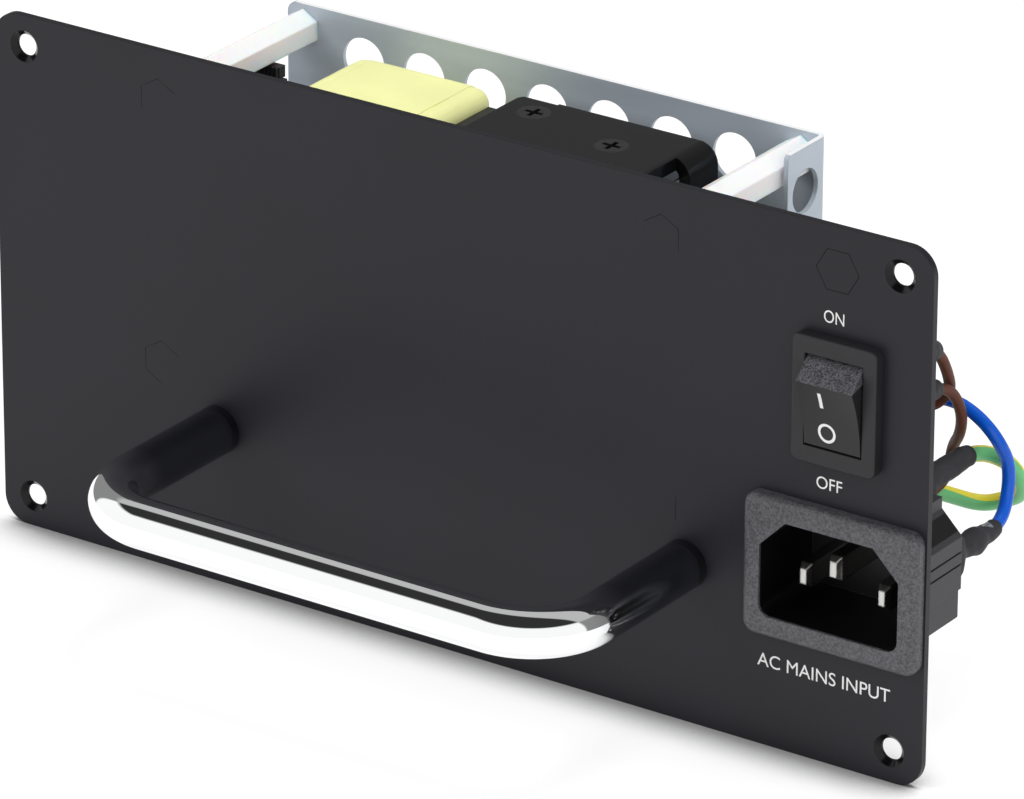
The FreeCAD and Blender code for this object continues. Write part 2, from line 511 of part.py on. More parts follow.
# ---------------------------------------------------------------- rocker switch
def switch_housing():
    x, z = SWITCH_X, SWITCH_Z
    bezel = rounded_box(x, z, SWITCH_BEZEL_W, SWITCH_BEZEL_H, SWITCH_FRONT, FRONT, 1.2)
    bezel = soften_rim(bezel, 0.35, SWITCH_FRONT)
    body = rounded_box(x, z, SWITCH_BODY_W, SWITCH_BODY_H, FRONT, SWITCH_DEPTH, 0.6)
    half_h = SWITCH_BODY_H / 2
    snaps = []
    for up in (-1, 1):
        root, catch = z + up * (half_h - 0.5), z + up * (half_h + 0.9)
        wedge = [(0.1, root), (0.1, catch), (5.0, root)]
        snaps.append(side_slab(wedge, x - 2.5, x + 2.5))
    shell = join([bezel, body] + snaps)
    mouth = box(x - SWITCH_OPEN_W / 2, x + SWITCH_OPEN_W / 2, SWITCH_FRONT - 1, SWITCH_FRONT + SWITCH_LIP_T,
                z - SWITCH_OPEN_H / 2, z + SWITCH_OPEN_H / 2)
    cavity = box(x - SWITCH_OPEN_W / 2, x + SWITCH_OPEN_W / 2, SWITCH_FRONT + SWITCH_LIP_T, SWITCH_FLOOR,
                 z - SWITCH_CAVITY_H / 2, z + SWITCH_CAVITY_H / 2)
    bore = cross_rod(TRUNNION_R + TRUNNION_CLEARANCE, x - 10, x + 10, ROCKER_PIVOT_Y, z)
    half_w, half_t = TAB_W / 2, TAB_T / 2
    slots = [box(x - half_w, x + half_w, SWITCH_FLOOR - 1, SWITCH_DEPTH + 1, c - half_t, c + half_t)
             for c in (z, z - TERMINAL_PITCH)]
    add("switch_housing", cut(shell, [mouth, cavity, bore] + slots))


def rocker_point(z, forward):
    """Place in the (Y, Z) plane of a rocker point in its middle position."""
    return V(0, ROCKER_PIVOT_Y - forward, SWITCH_Z + z)


def rocker():
    """Rocker with a dished front between two ridges, bevelled ends and two trunnions."""
    x0, x1 = SWITCH_X - ROCKER_W / 2, SWITCH_X + ROCKER_W / 2
    skirt_r = math.hypot(ROCKER_BEVEL_Z, ROCKER_BEVEL_F)
    skirt_f = -1.2
    skirt_z = math.sqrt(skirt_r ** 2 - skirt_f ** 2)
    middle_f = (ROCKER_BEVEL_F + skirt_f) / 2
    middle_z = math.sqrt(skirt_r ** 2 - middle_f ** 2)
    p = rocker_point
    dish = Part.Arc(p(ROCKER_RIDGE_Z, ROCKER_RIDGE_F), p(0, ROCKER_RIDGE_F - ROCKER_DISH),
                    p(-ROCKER_RIDGE_Z, ROCKER_RIDGE_F))
    edges = [dish.toShape()]
    for up in (-1, 1):
        ridge, bevel = p(up * ROCKER_RIDGE_Z, ROCKER_RIDGE_F), p(up * ROCKER_BEVEL_Z, ROCKER_BEVEL_F)
        skirt, belly = p(up * skirt_z, skirt_f), p(up * 3.0, -2.6)
        edges.append(Part.makeLine(ridge, bevel))
        edges.append(Part.Arc(bevel, p(up * middle_z, middle_f), skirt).toShape())
        edges.append(Part.makeLine(skirt, belly))
    edges.append(Part.makeLine(p(-3.0, -2.6), p(3.0, -2.6)))
    outline = Part.Wire(Part.__sortEdges__(edges))
    outline.translate(V(x0, 0, 0))
    block = Part.Face(outline).extrude(V(x1 - x0, 0, 0))
    pins = cross_rod(TRUNNION_R, SWITCH_X - 6.2, SWITCH_X + 6.2, ROCKER_PIVOT_Y, SWITCH_Z)
    bore = rod(PLUNGER_R + 0.1, SWITCH_X, ROCKER_PIVOT_Y - 3.6, ROCKER_PIVOT_Y + 4.0, SWITCH_Z)
    pockets = []
    for up in (-1, 1):
        low, high = sorted((up * 2.4, up * 6.4))
        pockets.append(box(x0 + 1.0, x1 - 1.0, ROCKER_PIVOT_Y - 2.0, ROCKER_PIVOT_Y + 4.0,
                           SWITCH_Z + low, SWITCH_Z + high))
    whole = cut(block.fuse(pins), [bore] + pockets)
    add("switch_rocker", turned(whole, ROCKER_TILT, ROCKER_PIVOT_Y, SWITCH_Z))
    seat_y, tip_y = ROCKER_PIVOT_Y + 1.2, ROCKER_PIVOT_Y + 6.2
    plunger = bevel_rim(rod(PLUNGER_R, SWITCH_X, seat_y, tip_y, SWITCH_Z), PLUNGER_R * 0.6, tip_y)
    add("switch_plunger", turned(plunger, ROCKER_TILT, ROCKER_PIVOT_Y, SWITCH_Z))
    coil = ring(SPRING_R, SPRING_R - SPRING_WIRE, SWITCH_X, ROCKER_PIVOT_Y - 3.6, seat_y, SWITCH_Z)
    add("switch_spring", turned(coil, ROCKER_TILT, ROCKER_PIVOT_Y, SWITCH_Z))


def switch_contacts():
    """See-saw contact on the centre terminal, and the two fixed terminals."""
    x, z, y = SWITCH_X, SWITCH_Z, CONTACT_Y
    blade = box(x - 1.9, x + 1.9, y - 0.5, y, z - 7.2, z + 5.2)
    rivet = rod(1.0, x, y, y + 0.6, z - 6.2)
    pivot = cross_rod(0.6, x - 1.9, x + 1.9, y, z)
    contact = join([blade, rivet, pivot])
    add("switch_contact", turned(contact, -CONTACT_TILT, y, z))
    tab_end, half_w, half_t = SWITCH_DEPTH + TAB_LEN, TAB_W / 2, TAB_T / 2
    centre = box(x - half_w, x + half_w, SWITCH_FLOOR - 0.6, tab_end, z - half_t, z + half_t)
    cradle = box(x - half_w, x + half_w, y + 0.3, SWITCH_FLOOR, z - 1.3, z + 1.3)
    centre = centre.fuse(cradle).cut(cross_rod(0.65, x - 4, x + 4, y, z)).removeSplitter()
    end_z = z - TERMINAL_PITCH
    lower = box(x - half_w, x + half_w, SWITCH_FLOOR - 0.2, tab_end, end_z - half_t, end_z + half_t)
    anvil = box(x - 1.6, x + 1.6, SWITCH_FLOOR - 0.3, SWITCH_FLOOR, end_z - 0.9, end_z + 1.9)
    add("switch_terminals", centre, lower.fuse(anvil).removeSplitter())


# ---------------------------------------------------------------- mains inlet
def inlet_opening(y0, y1):
    half_w, half_h, chamfer = INLET_OPEN_W / 2, INLET_OPEN_H / 2, INLET_OPEN_CHAMFER
    outline = [(-half_w, -half_h), (half_w, -half_h), (half_w, half_h - chamfer),
               (half_w - chamfer, half_h), (chamfer - half_w, half_h), (-half_w, half_h - chamfer)]
    hole = slab([(INLET_X + x, INLET_Z + z) for x, z in outline], y0, y1)
    return soften(hole, 2.0, Y_AXIS, lambda c: c.z < INLET_Z - half_h + 0.1)


def inlet_housing():
    x, z = INLET_X, INLET_Z
    bezel = rounded_box(x, z, INLET_BEZEL_W, INLET_BEZEL_H, INLET_FRONT, FRONT, 2.2)
    bezel = soften_rim(bezel, 1.2, INLET_FRONT)
    body = slab(inlet_body_outline(), FRONT, INLET_DEPTH)
    body = soften(body, 2.6, Y_AXIS, lambda c: c.z < z + INLET_BODY_BOTTOM + 0.1)
    latch_half, latch_top = 9.5, INLET_BODY_TOP + 1.9
    latch = box(x - latch_half, x + latch_half, 0.1, INLET_DEPTH, z + INLET_BODY_TOP - 0.5, z + latch_top)
    shell = join([bezel, body, latch])
    tools = [inlet_opening(INLET_FRONT - 1, INLET_FLOOR)]
    for side in (-1, 1):
        face = x + side * INLET_BODY_HALF_W
        for height in (0.6, 2.6):
            tools.append(box(face - 0.3, face + 0.3, 0.8, INLET_DEPTH + 1, z + height, z + height + 0.35))
        tools.append(box(*sorted((face - side * 0.45, face + side)), 0.8, INLET_DEPTH + 1, z - 12, z - 3.4))
    for offset, height in pin_places():
        tools.append(box(x + offset - PIN_W / 2, x + offset + PIN_W / 2, INLET_FLOOR - 1, INLET_DEPTH + 1,
                         z + height - PIN_H / 2, z + height + PIN_H / 2))
    add("inlet_housing", cut(shell, tools))


def pin_places():
    return [(-PIN_PITCH / 2, PIN_LOW), (PIN_PITCH / 2, PIN_LOW), (0.0, PIN_HIGH)]


def blade_section(x, z, y, width, height):
    """Corners of a rectangle across Y."""
    half_w, half_h = width / 2, height / 2
    return [V(x + a * half_w, y, z + c * half_h) for a, c in ((-1, -1), (1, -1), (1, 1), (-1, 1))]


def inlet_pins():
    names = ("inlet_line_pin", "inlet_neutral_pin", "inlet_earth_pin")
    for name, (offset, height) in zip(names, pin_places()):
        x, z = INLET_X + offset, INLET_Z + height
        tip = -2.3 if offset == 0 else 0.4
        blade = skin([blade_section(x, z, tip, PIN_W * 0.5, PIN_H * 0.6),
                      blade_section(x, z, tip + 1.2, PIN_W, PIN_H),
                      blade_section(x, z, INLET_DEPTH, PIN_W, PIN_H)])
        rise = EARTH_TAB_RISE if offset == 0 else 0.0
        back = INLET_DEPTH + (TAB_T if rise else 0.0)
        middle, half_w, half_t = z + rise, TAB_W / 2, TAB_T / 2
        tab = box(x - half_t, x + half_t, INLET_DEPTH, back + TAB_LEN, middle - half_w, middle + half_w)
        parts = [blade, tab]
        if rise:
            parts.append(box(x - 2.0, x + 2.0, INLET_DEPTH, back, z - 1.8, middle + half_w))
        add(name, join(parts))


# ---------------------------------------------------------------- terminals, sleeves and leads
def octagon(half_x, half_z, x, y, z):
    """Corners of an eight-sided outline across Y, with 45 degree corners."""
    cut_back = min(half_x, half_z) * (2 - math.sqrt(2))
    flat_x, flat_z = half_x - cut_back, half_z - cut_back
    outline = [(half_x, -flat_z), (half_x, flat_z), (flat_x, half_z), (-flat_x, half_z),
               (-half_x, flat_z), (-half_x, -flat_z), (-flat_x, -half_z), (flat_x, -half_z)]
    return [V(x + a, y, z + c) for a, c in outline]


def sleeve(x, z, y0, y1, upright, lead_r, droop=0.0):
    """Shrunk tube over a terminal: flat over the tab, round over the lead."""
    end_r = lead_r * section_ratio() + 0.05 + SLEEVE_T
    stations = ((y0, SLEEVE_WIDE, SLEEVE_SLIM, 0.0), (y0 + 7.9, SLEEVE_WIDE, SLEEVE_SLIM, 0.0),
                (y0 + 9.8, 2.3, SLEEVE_SLIM, droop * 0.1), (y1, end_r, end_r, droop))
    skins = []
    for inset in (0.0, SLEEVE_T):
        sections = []
        for y, wide, slim, drop in stations:
            half_x, half_z = (slim, wide) if upright else (wide, slim)
            sections.append(octagon(half_x - inset, half_z - inset, x, y, z - drop))
        skins.append(skin(sections))
    return skins[0].cut(skins[1])


def section_ratio():
    """Corner radius of a lead's many-sided section over the radius of the round one with its area."""
    turn_each = 2 * math.pi / LEAD_SIDES
    return math.sqrt(turn_each / math.sin(turn_each))


def quick_connect(x, z, y0, crimp_end, upright):
    """Push-on receptacle with rolled sides and a crimp barrel, over a tab that starts at y0."""
    long_half, short_half = SLEEVE_WIDE - SLEEVE_T, SLEEVE_SLIM - SLEEVE_T
    half_x, half_z = (short_half, long_half) if upright else (long_half, short_half)
    slot_w, slot_t = (TAB_W + 0.1) / 2, (TAB_T + 0.06) / 2
    slot_x, slot_z = (slot_t, slot_w) if upright else (slot_w, slot_t)
    shell = skin([octagon(half_x, half_z, x, y, z) for y in (y0 + 0.4, y0 + 7.9)])
    slot = box(x - slot_x, x + slot_x, y0, y0 + 7.4, z - slot_z, z + slot_z)
    barrel = rod(1.1, x, y0 + 7.9, crimp_end, z)
    return shell.cut(slot).fuse(barrel).removeSplitter()


def terminals_and_sleeves():
    connects, switch_tubes, inlet_tubes = [], [], []
    for (z, end), name in zip(SWITCH_SLEEVES, ("switched_lead", "line_lead")):
        lead_r = LEAD_RADII[name]
        connects.append(quick_connect(SWITCH_X, z, SWITCH_DEPTH, end - CRIMP_INSET, False))
        switch_tubes.append(sleeve(SWITCH_X, z, SWITCH_DEPTH + 0.4, end, False, lead_r, SWITCH_DROOP))
    for (offset, height, end), name in zip(INLET_SLEEVES, ("line_lead", "neutral_lead", "earth_lead")):
        start = INLET_DEPTH + (TAB_T if offset == 0 else 0.0)
        x, z = INLET_X + offset, INLET_Z + height
        connects.append(quick_connect(x, z, start, end - CRIMP_INSET, True))
        inlet_tubes.append(sleeve(x, z, start + 0.4, end, True, LEAD_RADII[name]))
    add("quick_connects", *connects)
    add("switch_sleeves", *switch_tubes)
    add("inlet_sleeves", *inlet_tubes)


def earth_point():
    """Clinch stud with ring terminal, toothed washer and nut."""
    x, z = EARTH_X, EARTH_Z
    head = slab(hexagon(STUD_HEAD, x, z), -CLINCH_SINK, 0)
    add("earth_stud", head.fuse(rod(M4_R, x, 0, 10.0, z)).removeSplitter())
    tongue = ring(4.0, M4_R + 0.1, x, 0, 0.8, z)
    neck = box(x + 3.2, x + 6.4, 0, 0.8, z - 1.6, z + 1.6)
    barrel = cross_rod(1.5, x + 6.2, x + EARTH_BARREL, 1.5, z)
    terminal = join([tongue, neck, barrel])
    terminal.rotate(V(x, 0, z), Y_AXIS, -EARTH_ANGLE)
    add("earth_ring_terminal", terminal)
    washer = ring(4.0, M4_R + 0.15, x, 0.8, 1.6, z)
    teeth = []
    for i in range(8):
        notch = box(x + 3.2, x + 5.0, 0, 2.0, z - 0.45, z + 0.45)
        notch.rotate(V(x, 0, z), Y_AXIS, 45.0 * i)
        teeth.append(notch)
    add("earth_washer", cut(washer, teeth))
    nut = slab(hexagon(7.0, x, z), 1.6, 4.8)
    add("earth_nut", nut.cut(rod(M4_R, x, 0, 6, z)))


def lead_routes():
    """Corner points of each lead, from one terminal to the other."""
    (top_z, top_end), (low_z, low_end) = SWITCH_SLEEVES
    line_end, neutral_end, earth_end = [end for _, _, end in INLET_SLEEVES]
    pin_z, earth_z = INLET_Z + PIN_LOW, INLET_Z + INLET_SLEEVES[2][1]
    line_x, neutral_x = INLET_X - PIN_PITCH / 2, INLET_X + PIN_PITCH / 2
    plug_line, plug_neutral = IN_Z + IN_PITCH, IN_Z - IN_PITCH
    sag_in, sag_out = SWITCH_DROOP * 0.25, SWITCH_DROOP * 1.3      # where a lead enters and leaves its sleeve
    start = CRIMP_INSET - 0.22
    angle = math.radians(EARTH_ANGLE)
    stud = [(EARTH_X + r * math.cos(angle), 1.5, EARTH_Z + r * math.sin(angle)) for r in (17.0, EARTH_BARREL)]
    return {
        "line_lead": [
            (SWITCH_X, low_end - start, low_z - sag_in), (SWITCH_X, low_end + 1.4, low_z - sag_out),
            (71.0, 30.9, 6.7), (71.6, 33.7, 2.2), (69.0, 37.3, -3.4), (65.6, 40.8, -7.8), (65.4, 40.2, -12.7),
            (line_x, line_end + 2.4, pin_z), (line_x, line_end - CRIMP_INSET, pin_z)],
        "switched_lead": [
            (SWITCH_X, top_end - start, top_z - sag_in), (SWITCH_X, top_end + 1.6, top_z - sag_out),
            (71.1, 30.9, 10.2), (69.0, 33.5, 5.8), (65.3, 32.6, 4.0), (60.2, 29.0, 5.2), (54.4, 26.2, 8.0),
            (48.6, 25.7, 10.4), (43.6, 25.5, 11.7), (40.2, 23.9, plug_line), (IN_X, 21.0, plug_line),
            (IN_X, IN_BACK, plug_line)],
        "neutral_lead": [
            (neutral_x, neutral_end - CRIMP_INSET, pin_z), (neutral_x, neutral_end + 1.5, pin_z),
            (77.4, 38.8, -10.9), (76.8, 39.1, -7.1), (76.1, 37.8, -4.0), (74.6, 37.1, -1.5),
            (71.7, 37.4, 0.3), (67.7, 37.9, 1.2), (62.4, 35.4, 0.3), (55.8, 30.6, 0.6), (49.4, 26.8, 2.4),
            (43.8, 25.5, 3.7), (40.2, 23.9, plug_neutral), (IN_X, 21.0, plug_neutral),
            (IN_X, IN_BACK, plug_neutral)],
        "earth_lead": [
            (INLET_X, earth_end - CRIMP_INSET, earth_z), (INLET_X, earth_end + 1.4, earth_z),
            (74.5, 42.2, -8.3), (76.3, 44.1, -11.9), (75.3, 45.8, -15.4), (72.1, 46.9, -17.4),
            (68.3, 45.8, -18.9), (64.1, 42.9, -17.3), (59.9, 36.7, -13.9), (56.6, 27.4, -8.0),
            (54.6, 17.4, 2.0), (53.2, 9.0, 12.6), (53.4, 4.0, 21.4)] + stud,
    }


def lead(points, lead_r):
    """Tube along straight runs joined by tangent arcs, made of the faces that its section sweeps."""
    corners = [V(*p) for p in points]
    ahead = (corners[1] - corners[0]).normalize()
    side = ahead.cross(Z_AXIS).normalize()
    up = side.cross(ahead)
    turn_each = 2 * math.pi / LEAD_SIDES
    radius = lead_r * section_ratio()
    rim = [corners[0] + side * (radius * math.cos(i * turn_each)) + up * (radius * math.sin(i * turn_each))
           for i in range(LEAD_SIDES)]
    section = Part.makePolygon(rim + rim[:1])
    faces, here, length, tightest = [Part.Face(section)], corners[0], 0.0, 1e9
    for before, corner, after in zip(corners, corners[1:], corners[2:]):
        into, out = corner - before, after - corner
        reach = LEAD_ARC_SHARE * min(into.Length, out.Length)
        turn = into.getAngle(out)
        into.normalize()
        out.normalize()
        bend = reach / math.tan(turn / 2)
        start, axis = corner - into * reach, into.cross(out).normalize()
        run = start - here
        faces += section.extrude(run).Faces
        section.translate(run)
        centre = start + axis.cross(into) * bend
        faces += section.revolve(centre, axis, math.degrees(turn)).Faces
        section.rotate(centre, axis, math.degrees(turn))
        here, length, tightest = corner + out * reach, length + run.Length + bend * turn, min(tightest, bend)
    run = corners[-1] - here
    faces += section.extrude(run).Faces
    section.translate(run)
    faces.append(Part.Face(section))
    tube = closed_solid(faces)
    length += run.Length
    print("  length %.1f  tightest radius %.1f  volume / expected %.4f"
          % (length, tightest, tube.Volume / (math.pi * lead_r ** 2 * length)))
    return tube


def leads():
    for name, points in lead_routes().items():
        print(name)
        add(name, lead(points, LEAD_RADII[name]))


# ---------------------------------------------------------------- build
def build():
    front_panel()
    handle()
    pillars()
    rear_bracket()
    transformer()
    primary_heatsink()
    power_transistors()
    capacitors()
    line_filter()
    rectifiers()
    small_parts()
    circuit_board()
    switch_housing()
    rocker()
    switch_contacts()
    inlet_housing()
    inlet_pins()
    terminals_and_sleeves()
    earth_point()
    leads()
    os.makedirs("parts", exist_ok=True)
    for name, shape in NODES.items():
        if not shape.isValid() or shape.Volume <= 0:
            print("CHECK", name, shape.isValid(), round(shape.Volume, 2))
        shape.exportStep("parts/" + name + ".step")
    print(len(NODES), "nodes,", sum(len(s.Solids) for s in NODES.values()), "solids")


build()
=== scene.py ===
"""Server power supply module: looks, leads, sleeves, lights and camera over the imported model."""
import json
import math

import bmesh
import bpy
from mathutils import Matrix, Vector
from mathutils import noise as waves


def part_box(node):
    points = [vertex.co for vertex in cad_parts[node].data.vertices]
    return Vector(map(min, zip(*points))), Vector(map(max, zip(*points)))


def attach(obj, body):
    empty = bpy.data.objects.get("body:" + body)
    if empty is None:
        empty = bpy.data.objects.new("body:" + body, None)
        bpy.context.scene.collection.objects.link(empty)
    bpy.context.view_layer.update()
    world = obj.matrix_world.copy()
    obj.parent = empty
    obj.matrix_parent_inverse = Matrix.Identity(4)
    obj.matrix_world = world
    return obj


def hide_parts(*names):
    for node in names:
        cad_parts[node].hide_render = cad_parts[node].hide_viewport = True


MM = 0.001
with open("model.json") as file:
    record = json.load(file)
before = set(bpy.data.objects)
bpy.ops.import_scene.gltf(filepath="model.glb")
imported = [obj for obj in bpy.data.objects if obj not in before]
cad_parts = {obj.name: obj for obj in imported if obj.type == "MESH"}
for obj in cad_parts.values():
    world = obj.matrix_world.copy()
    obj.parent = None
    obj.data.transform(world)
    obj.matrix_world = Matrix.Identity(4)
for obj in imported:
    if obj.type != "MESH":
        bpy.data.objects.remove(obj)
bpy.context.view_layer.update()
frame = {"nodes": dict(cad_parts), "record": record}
nodes = frame["nodes"]

# ---------------------------------------------------------------- measures of the CAD model
INLET_CENTRE = (71.2 * MM, -13.1 * MM)             # X and Z
WELL_HALF = (12.5 * MM, 8.4 * MM)                  # half width and half height of the inlet's well
WELL_START = 0.5 * MM                              # behind the inlet's front
HOLES = (81.2 * MM, 38.85 * MM)                    # panel holes, from the middle
HOLE_MOUTH = 2.75 * MM                             # radius of their countersinks
PIVOT_Y, PIVOT_Z = 1.83, 16.15                     # rocker's axis, millimetres
TILT = math.radians(14.04)                         # of the rocker at rest, from its middle position
RIDGE = 5.67                                       # millimetres from the axis to either ridge, along the face
FACE_REACH, FACE_DISH = 6.05, 0.55                 # millimetres: from the axis to the face, and its dish
inlet_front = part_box("inlet_housing")[0].y
bracket_low, bracket_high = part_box("rear_bracket")
panel_low, panel_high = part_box("front_panel")

# ---------------------------------------------------------------- materials
MIX_SOCKETS = {"RGBA": (6, 7, 2), "FLOAT": (2, 3, 0)}      # a Mix node's two inputs and its result


def new_material(name):
    material = bpy.data.materials.new(name)
    material.use_nodes = True
    tree = material.node_tree
    return material, tree, tree.nodes["Principled BSDF"]


def add_node(tree, kind, **values):
    node = tree.nodes.new(kind)
    for key, value in values.items():
        if key in node.inputs:
            node.inputs[key].default_value = value
        else:
            setattr(node, key, value)
    return node


def feed(tree, socket, value):
    """Links a socket to another one, or gives it a plain value."""
    if isinstance(value, bpy.types.NodeSocket):
        tree.links.new(value, socket)
    else:
        socket.default_value = value


def calc(tree, operation, *values):
    """Math over one or two values, or over more of them in turn."""
    node = add_node(tree, "ShaderNodeMath", operation=operation)
    for socket, value in zip(node.inputs, values[:2]):
        feed(tree, socket, value)
    return calc(tree, operation, node.outputs[0], *values[2:]) if values[2:] else node.outputs[0]


def mix(tree, kind, mask, plain, marked, target):
    """Feeds a socket with the plain value where the mask is 0 and the marked one where it is 1."""
    first, second, result = MIX_SOCKETS[kind]
    node = add_node(tree, "ShaderNodeMix", data_type=kind)
    for index, value in ((0, mask), (first, plain), (second, marked)):
        feed(tree, node.inputs[index], value)
    tree.links.new(node.outputs[result], target)


def between(tree, value, low, high, low_in=0.3, high_in=0.7):
    node = add_node(tree, "ShaderNodeMapRange")
    for name, number in (("From Min", low_in), ("From Max", high_in), ("To Min", low), ("To Max", high)):
        node.inputs[name].default_value = number
    tree.links.new(value, node.inputs["Value"])
    return node.outputs["Result"]


def place(tree, stretch=(1, 1, 1)):
    """Object coordinates, stretched for drawn or brushed surfaces."""
    spot = add_node(tree, "ShaderNodeTexCoord")
    scale = add_node(tree, "ShaderNodeMapping", Scale=stretch)
    tree.links.new(spot.outputs["Object"], scale.inputs["Vector"])
    return scale.outputs["Vector"]


def axes(tree):
    """The surface point's own X, Y and Z, in metres."""
    spot = add_node(tree, "ShaderNodeTexCoord")
    split = add_node(tree, "ShaderNodeSeparateXYZ")
    tree.links.new(spot.outputs["Object"], split.inputs["Vector"])
    return split.outputs["X"], split.outputs["Y"], split.outputs["Z"]


def off_centre(tree, value, centre):
    return calc(tree, "ABSOLUTE", calc(tree, "SUBTRACT", value, centre))


def noise(tree, where, scale, detail=3.0, rough=0.5):
    node = add_node(tree, "ShaderNodeTexNoise", Scale=scale, Detail=detail, Roughness=rough)
    tree.links.new(where, node.inputs["Vector"])
    return node.outputs["Fac"]


def shaded(tree, value, dark, light):
    ramp = add_node(tree, "ShaderNodeValToRGB")
    for element, position, colour in zip(ramp.color_ramp.elements, (0.32, 0.68), (dark, light)):
        element.position = position
        element.color = (*colour, 1)
    tree.links.new(value, ramp.inputs["Fac"])
    return ramp.outputs["Color"]


def bump(tree, height, strength, distance, edge=0.0):
    """Relief from a height, over edges softened by a radius; both lengths in metres."""
    node = add_node(tree, "ShaderNodeBump", Strength=strength, Distance=distance)
    tree.links.new(height, node.inputs["Height"])
    if edge:
        rounded = add_node(tree, "ShaderNodeBevel", Radius=edge)
        rounded.samples = 6
        tree.links.new(rounded.outputs["Normal"], node.inputs["Normal"])
    return node.outputs["Normal"]


def tint(colour, factor):
    return tuple(min(1.0, c * factor) for c in colour)


def finish(name, colour, roughness, metallic=0.0, cloud=60.0, spread=0.12, grain=1500.0, depth=0.02,
           edge=0.12, stretch=(1, 1, 1), vary=0.06, specular=0.5, coat=0.0, subsurface=0.0):
    """Surface with cloudy colour, uneven gloss, fine relief and softened edges; cloud and grain are per
    metre, depth and edge in millimetres."""
    material, tree, shader = new_material(name)
    where = place(tree, stretch)
    clouds = noise(tree, where, cloud)
    fine = noise(tree, where, grain, 2.0, 0.6)
    tree.links.new(shaded(tree, clouds, tint(colour, 1 - spread), tint(colour, 1 + spread)),
                   shader.inputs["Base Color"])
    tree.links.new(between(tree, clouds, roughness - vary, roughness + vary), shader.inputs["Roughness"])
    tree.links.new(bump(tree, fine, 0.5, depth * MM, edge * MM), shader.inputs["Normal"])
    shader.inputs["Metallic"].default_value = metallic
    shader.inputs["Specular IOR Level"].default_value = specular
    if coat:
        shader.inputs["Coat Weight"].default_value = coat
        shader.inputs["Coat Roughness"].default_value = 0.12
    if subsurface:
        shader.inputs["Subsurface Weight"].default_value = subsurface
        shader.inputs["Subsurface Scale"].default_value = 2 * MM
    return material


def shade_where(material, mask, colour, roughness, metallic=None):
    """Another colour and gloss where the mask is 1."""
    tree = material.node_tree
    sockets = tree.nodes["Principled BSDF"].inputs
    base, gloss = sockets["Base Color"], sockets["Roughness"]
    mix(tree, "RGBA", mask, base.links[0].from_socket, (*colour, 1), base)
    mix(tree, "FLOAT", mask, gloss.links[0].from_socket, roughness, gloss)
    if metallic is not None:
        plain = sockets["Metallic"].default_value
        tree.links.new(between(tree, mask, plain, metallic, 0.0, 1.0), sockets["Metallic"])


powder = finish("powder_coat", (0.0145, 0.0140, 0.0185), 0.44, cloud=35, spread=0.09, grain=2600,
                depth=0.014, vary=0.03, specular=0.27)
# near-black powder of the witness marks: painted shade standing in for the shade along their grooves
crease_painted_shade = finish("crease_painted_shade", (0.004, 0.004, 0.005), 0.5, grain=2600, depth=0.01, edge=0,
                      specular=0.1)
chrome = finish("chrome_plate", (0.945, 0.95, 0.955), 0.03, 1.0, spread=0.012, grain=300, depth=0.0012,
                edge=0, vary=0.008)
zinc = finish("zinc_sheet", (0.50, 0.56, 0.63), 0.48, 0.25, cloud=45, spread=0.06, grain=1200, depth=0.005,
              stretch=(1, 1, 6), vary=0.05)
nylon = finish("natural_nylon", (0.98, 0.985, 0.99), 0.36, cloud=80, spread=0.01, grain=500, depth=0.01,
               edge=0.4, subsurface=0.6)
tape = finish("yellow_tape", (0.90, 0.91, 0.41), 0.42, cloud=90, spread=0.04, grain=420, depth=0.03, edge=0)
ferrite = finish("ferrite", (0.030, 0.030, 0.033), 0.5, 0.2, grain=2200, depth=0.02)
anodised = finish("black_anodised", (0.006, 0.006, 0.007), 0.20, grain=1800, depth=0.003, edge=0.25,
                  vary=0.04, specular=0.25)
black_steel = finish("black_oxide", (0.016, 0.016, 0.017), 0.26, 0.2, depth=0.01)
bright_steel = finish("plated_steel", (0.62, 0.62, 0.61), 0.26, 1.0, spread=0.08, grain=1300, depth=0.006)
tinned = finish("tinned_metal", (0.72, 0.71, 0.69), 0.24, 1.0, spread=0.06, grain=1100, depth=0.004)
nickel = finish("nickel_blade", (0.62, 0.61, 0.59), 0.26, 1.0, spread=0.06, grain=1100, depth=0.004, edge=0.5)
brass = finish("brass", (0.72, 0.55, 0.26), 0.28, 1.0, grain=1100, depth=0.004)
copper = finish("enamelled_copper", (0.62, 0.25, 0.09), 0.25, 0.85, grain=1100, depth=0.004, coat=0.5)
board = finish("solder_mask", (0.016, 0.085, 0.038), 0.32, cloud=160, spread=0.18, grain=900, depth=0.01)
epoxy = finish("moulded_epoxy", (0.016, 0.016, 0.018), 0.5, grain=2000, depth=0.012)
pad = finish("silicone_pad", (0.42, 0.44, 0.46), 0.6, depth=0.01)
can_sleeve = finish("can_sleeve", (0.010, 0.013, 0.030), 0.25, cloud=100, grain=600, depth=0.006, coat=0.3)
film = finish("film_case", (0.62, 0.47, 0.06), 0.42, grain=1200, depth=0.008)
ceramic = finish("dipped_ceramic", (0.03, 0.12, 0.40), 0.28, cloud=200, grain=500, depth=0.03, coat=0.4)
black_plastic = finish("grained_plastic", (0.020, 0.019, 0.021), 0.46, grain=3600, depth=0.03, edge=0.14,
                       vary=0.05, specular=0.35)
inlet_plastic = finish("sanded_plastic", (0.066, 0.065, 0.072), 0.48, cloud=2600, spread=0.6, grain=2600,
                       depth=0.11, edge=0.16, specular=0.6)
satin_plastic = finish("satin_plastic", (0.014, 0.013, 0.014), 0.38, grain=1700, depth=0.008, edge=0.16,
                       specular=0.4)
white_plastic = finish("white_plastic", (0.74, 0.73, 0.68), 0.42, grain=1100, depth=0.01, subsurface=0.15)
shrink = finish("heat_shrink", (0.040, 0.039, 0.043), 0.56, cloud=250, grain=900, depth=0.03, edge=0,
                vary=0.08, specular=0.12)
brown = finish("brown_pvc", (0.110, 0.036, 0.020), 0.50, spread=0.08, grain=500, depth=0.01, edge=0,
               specular=0.15)
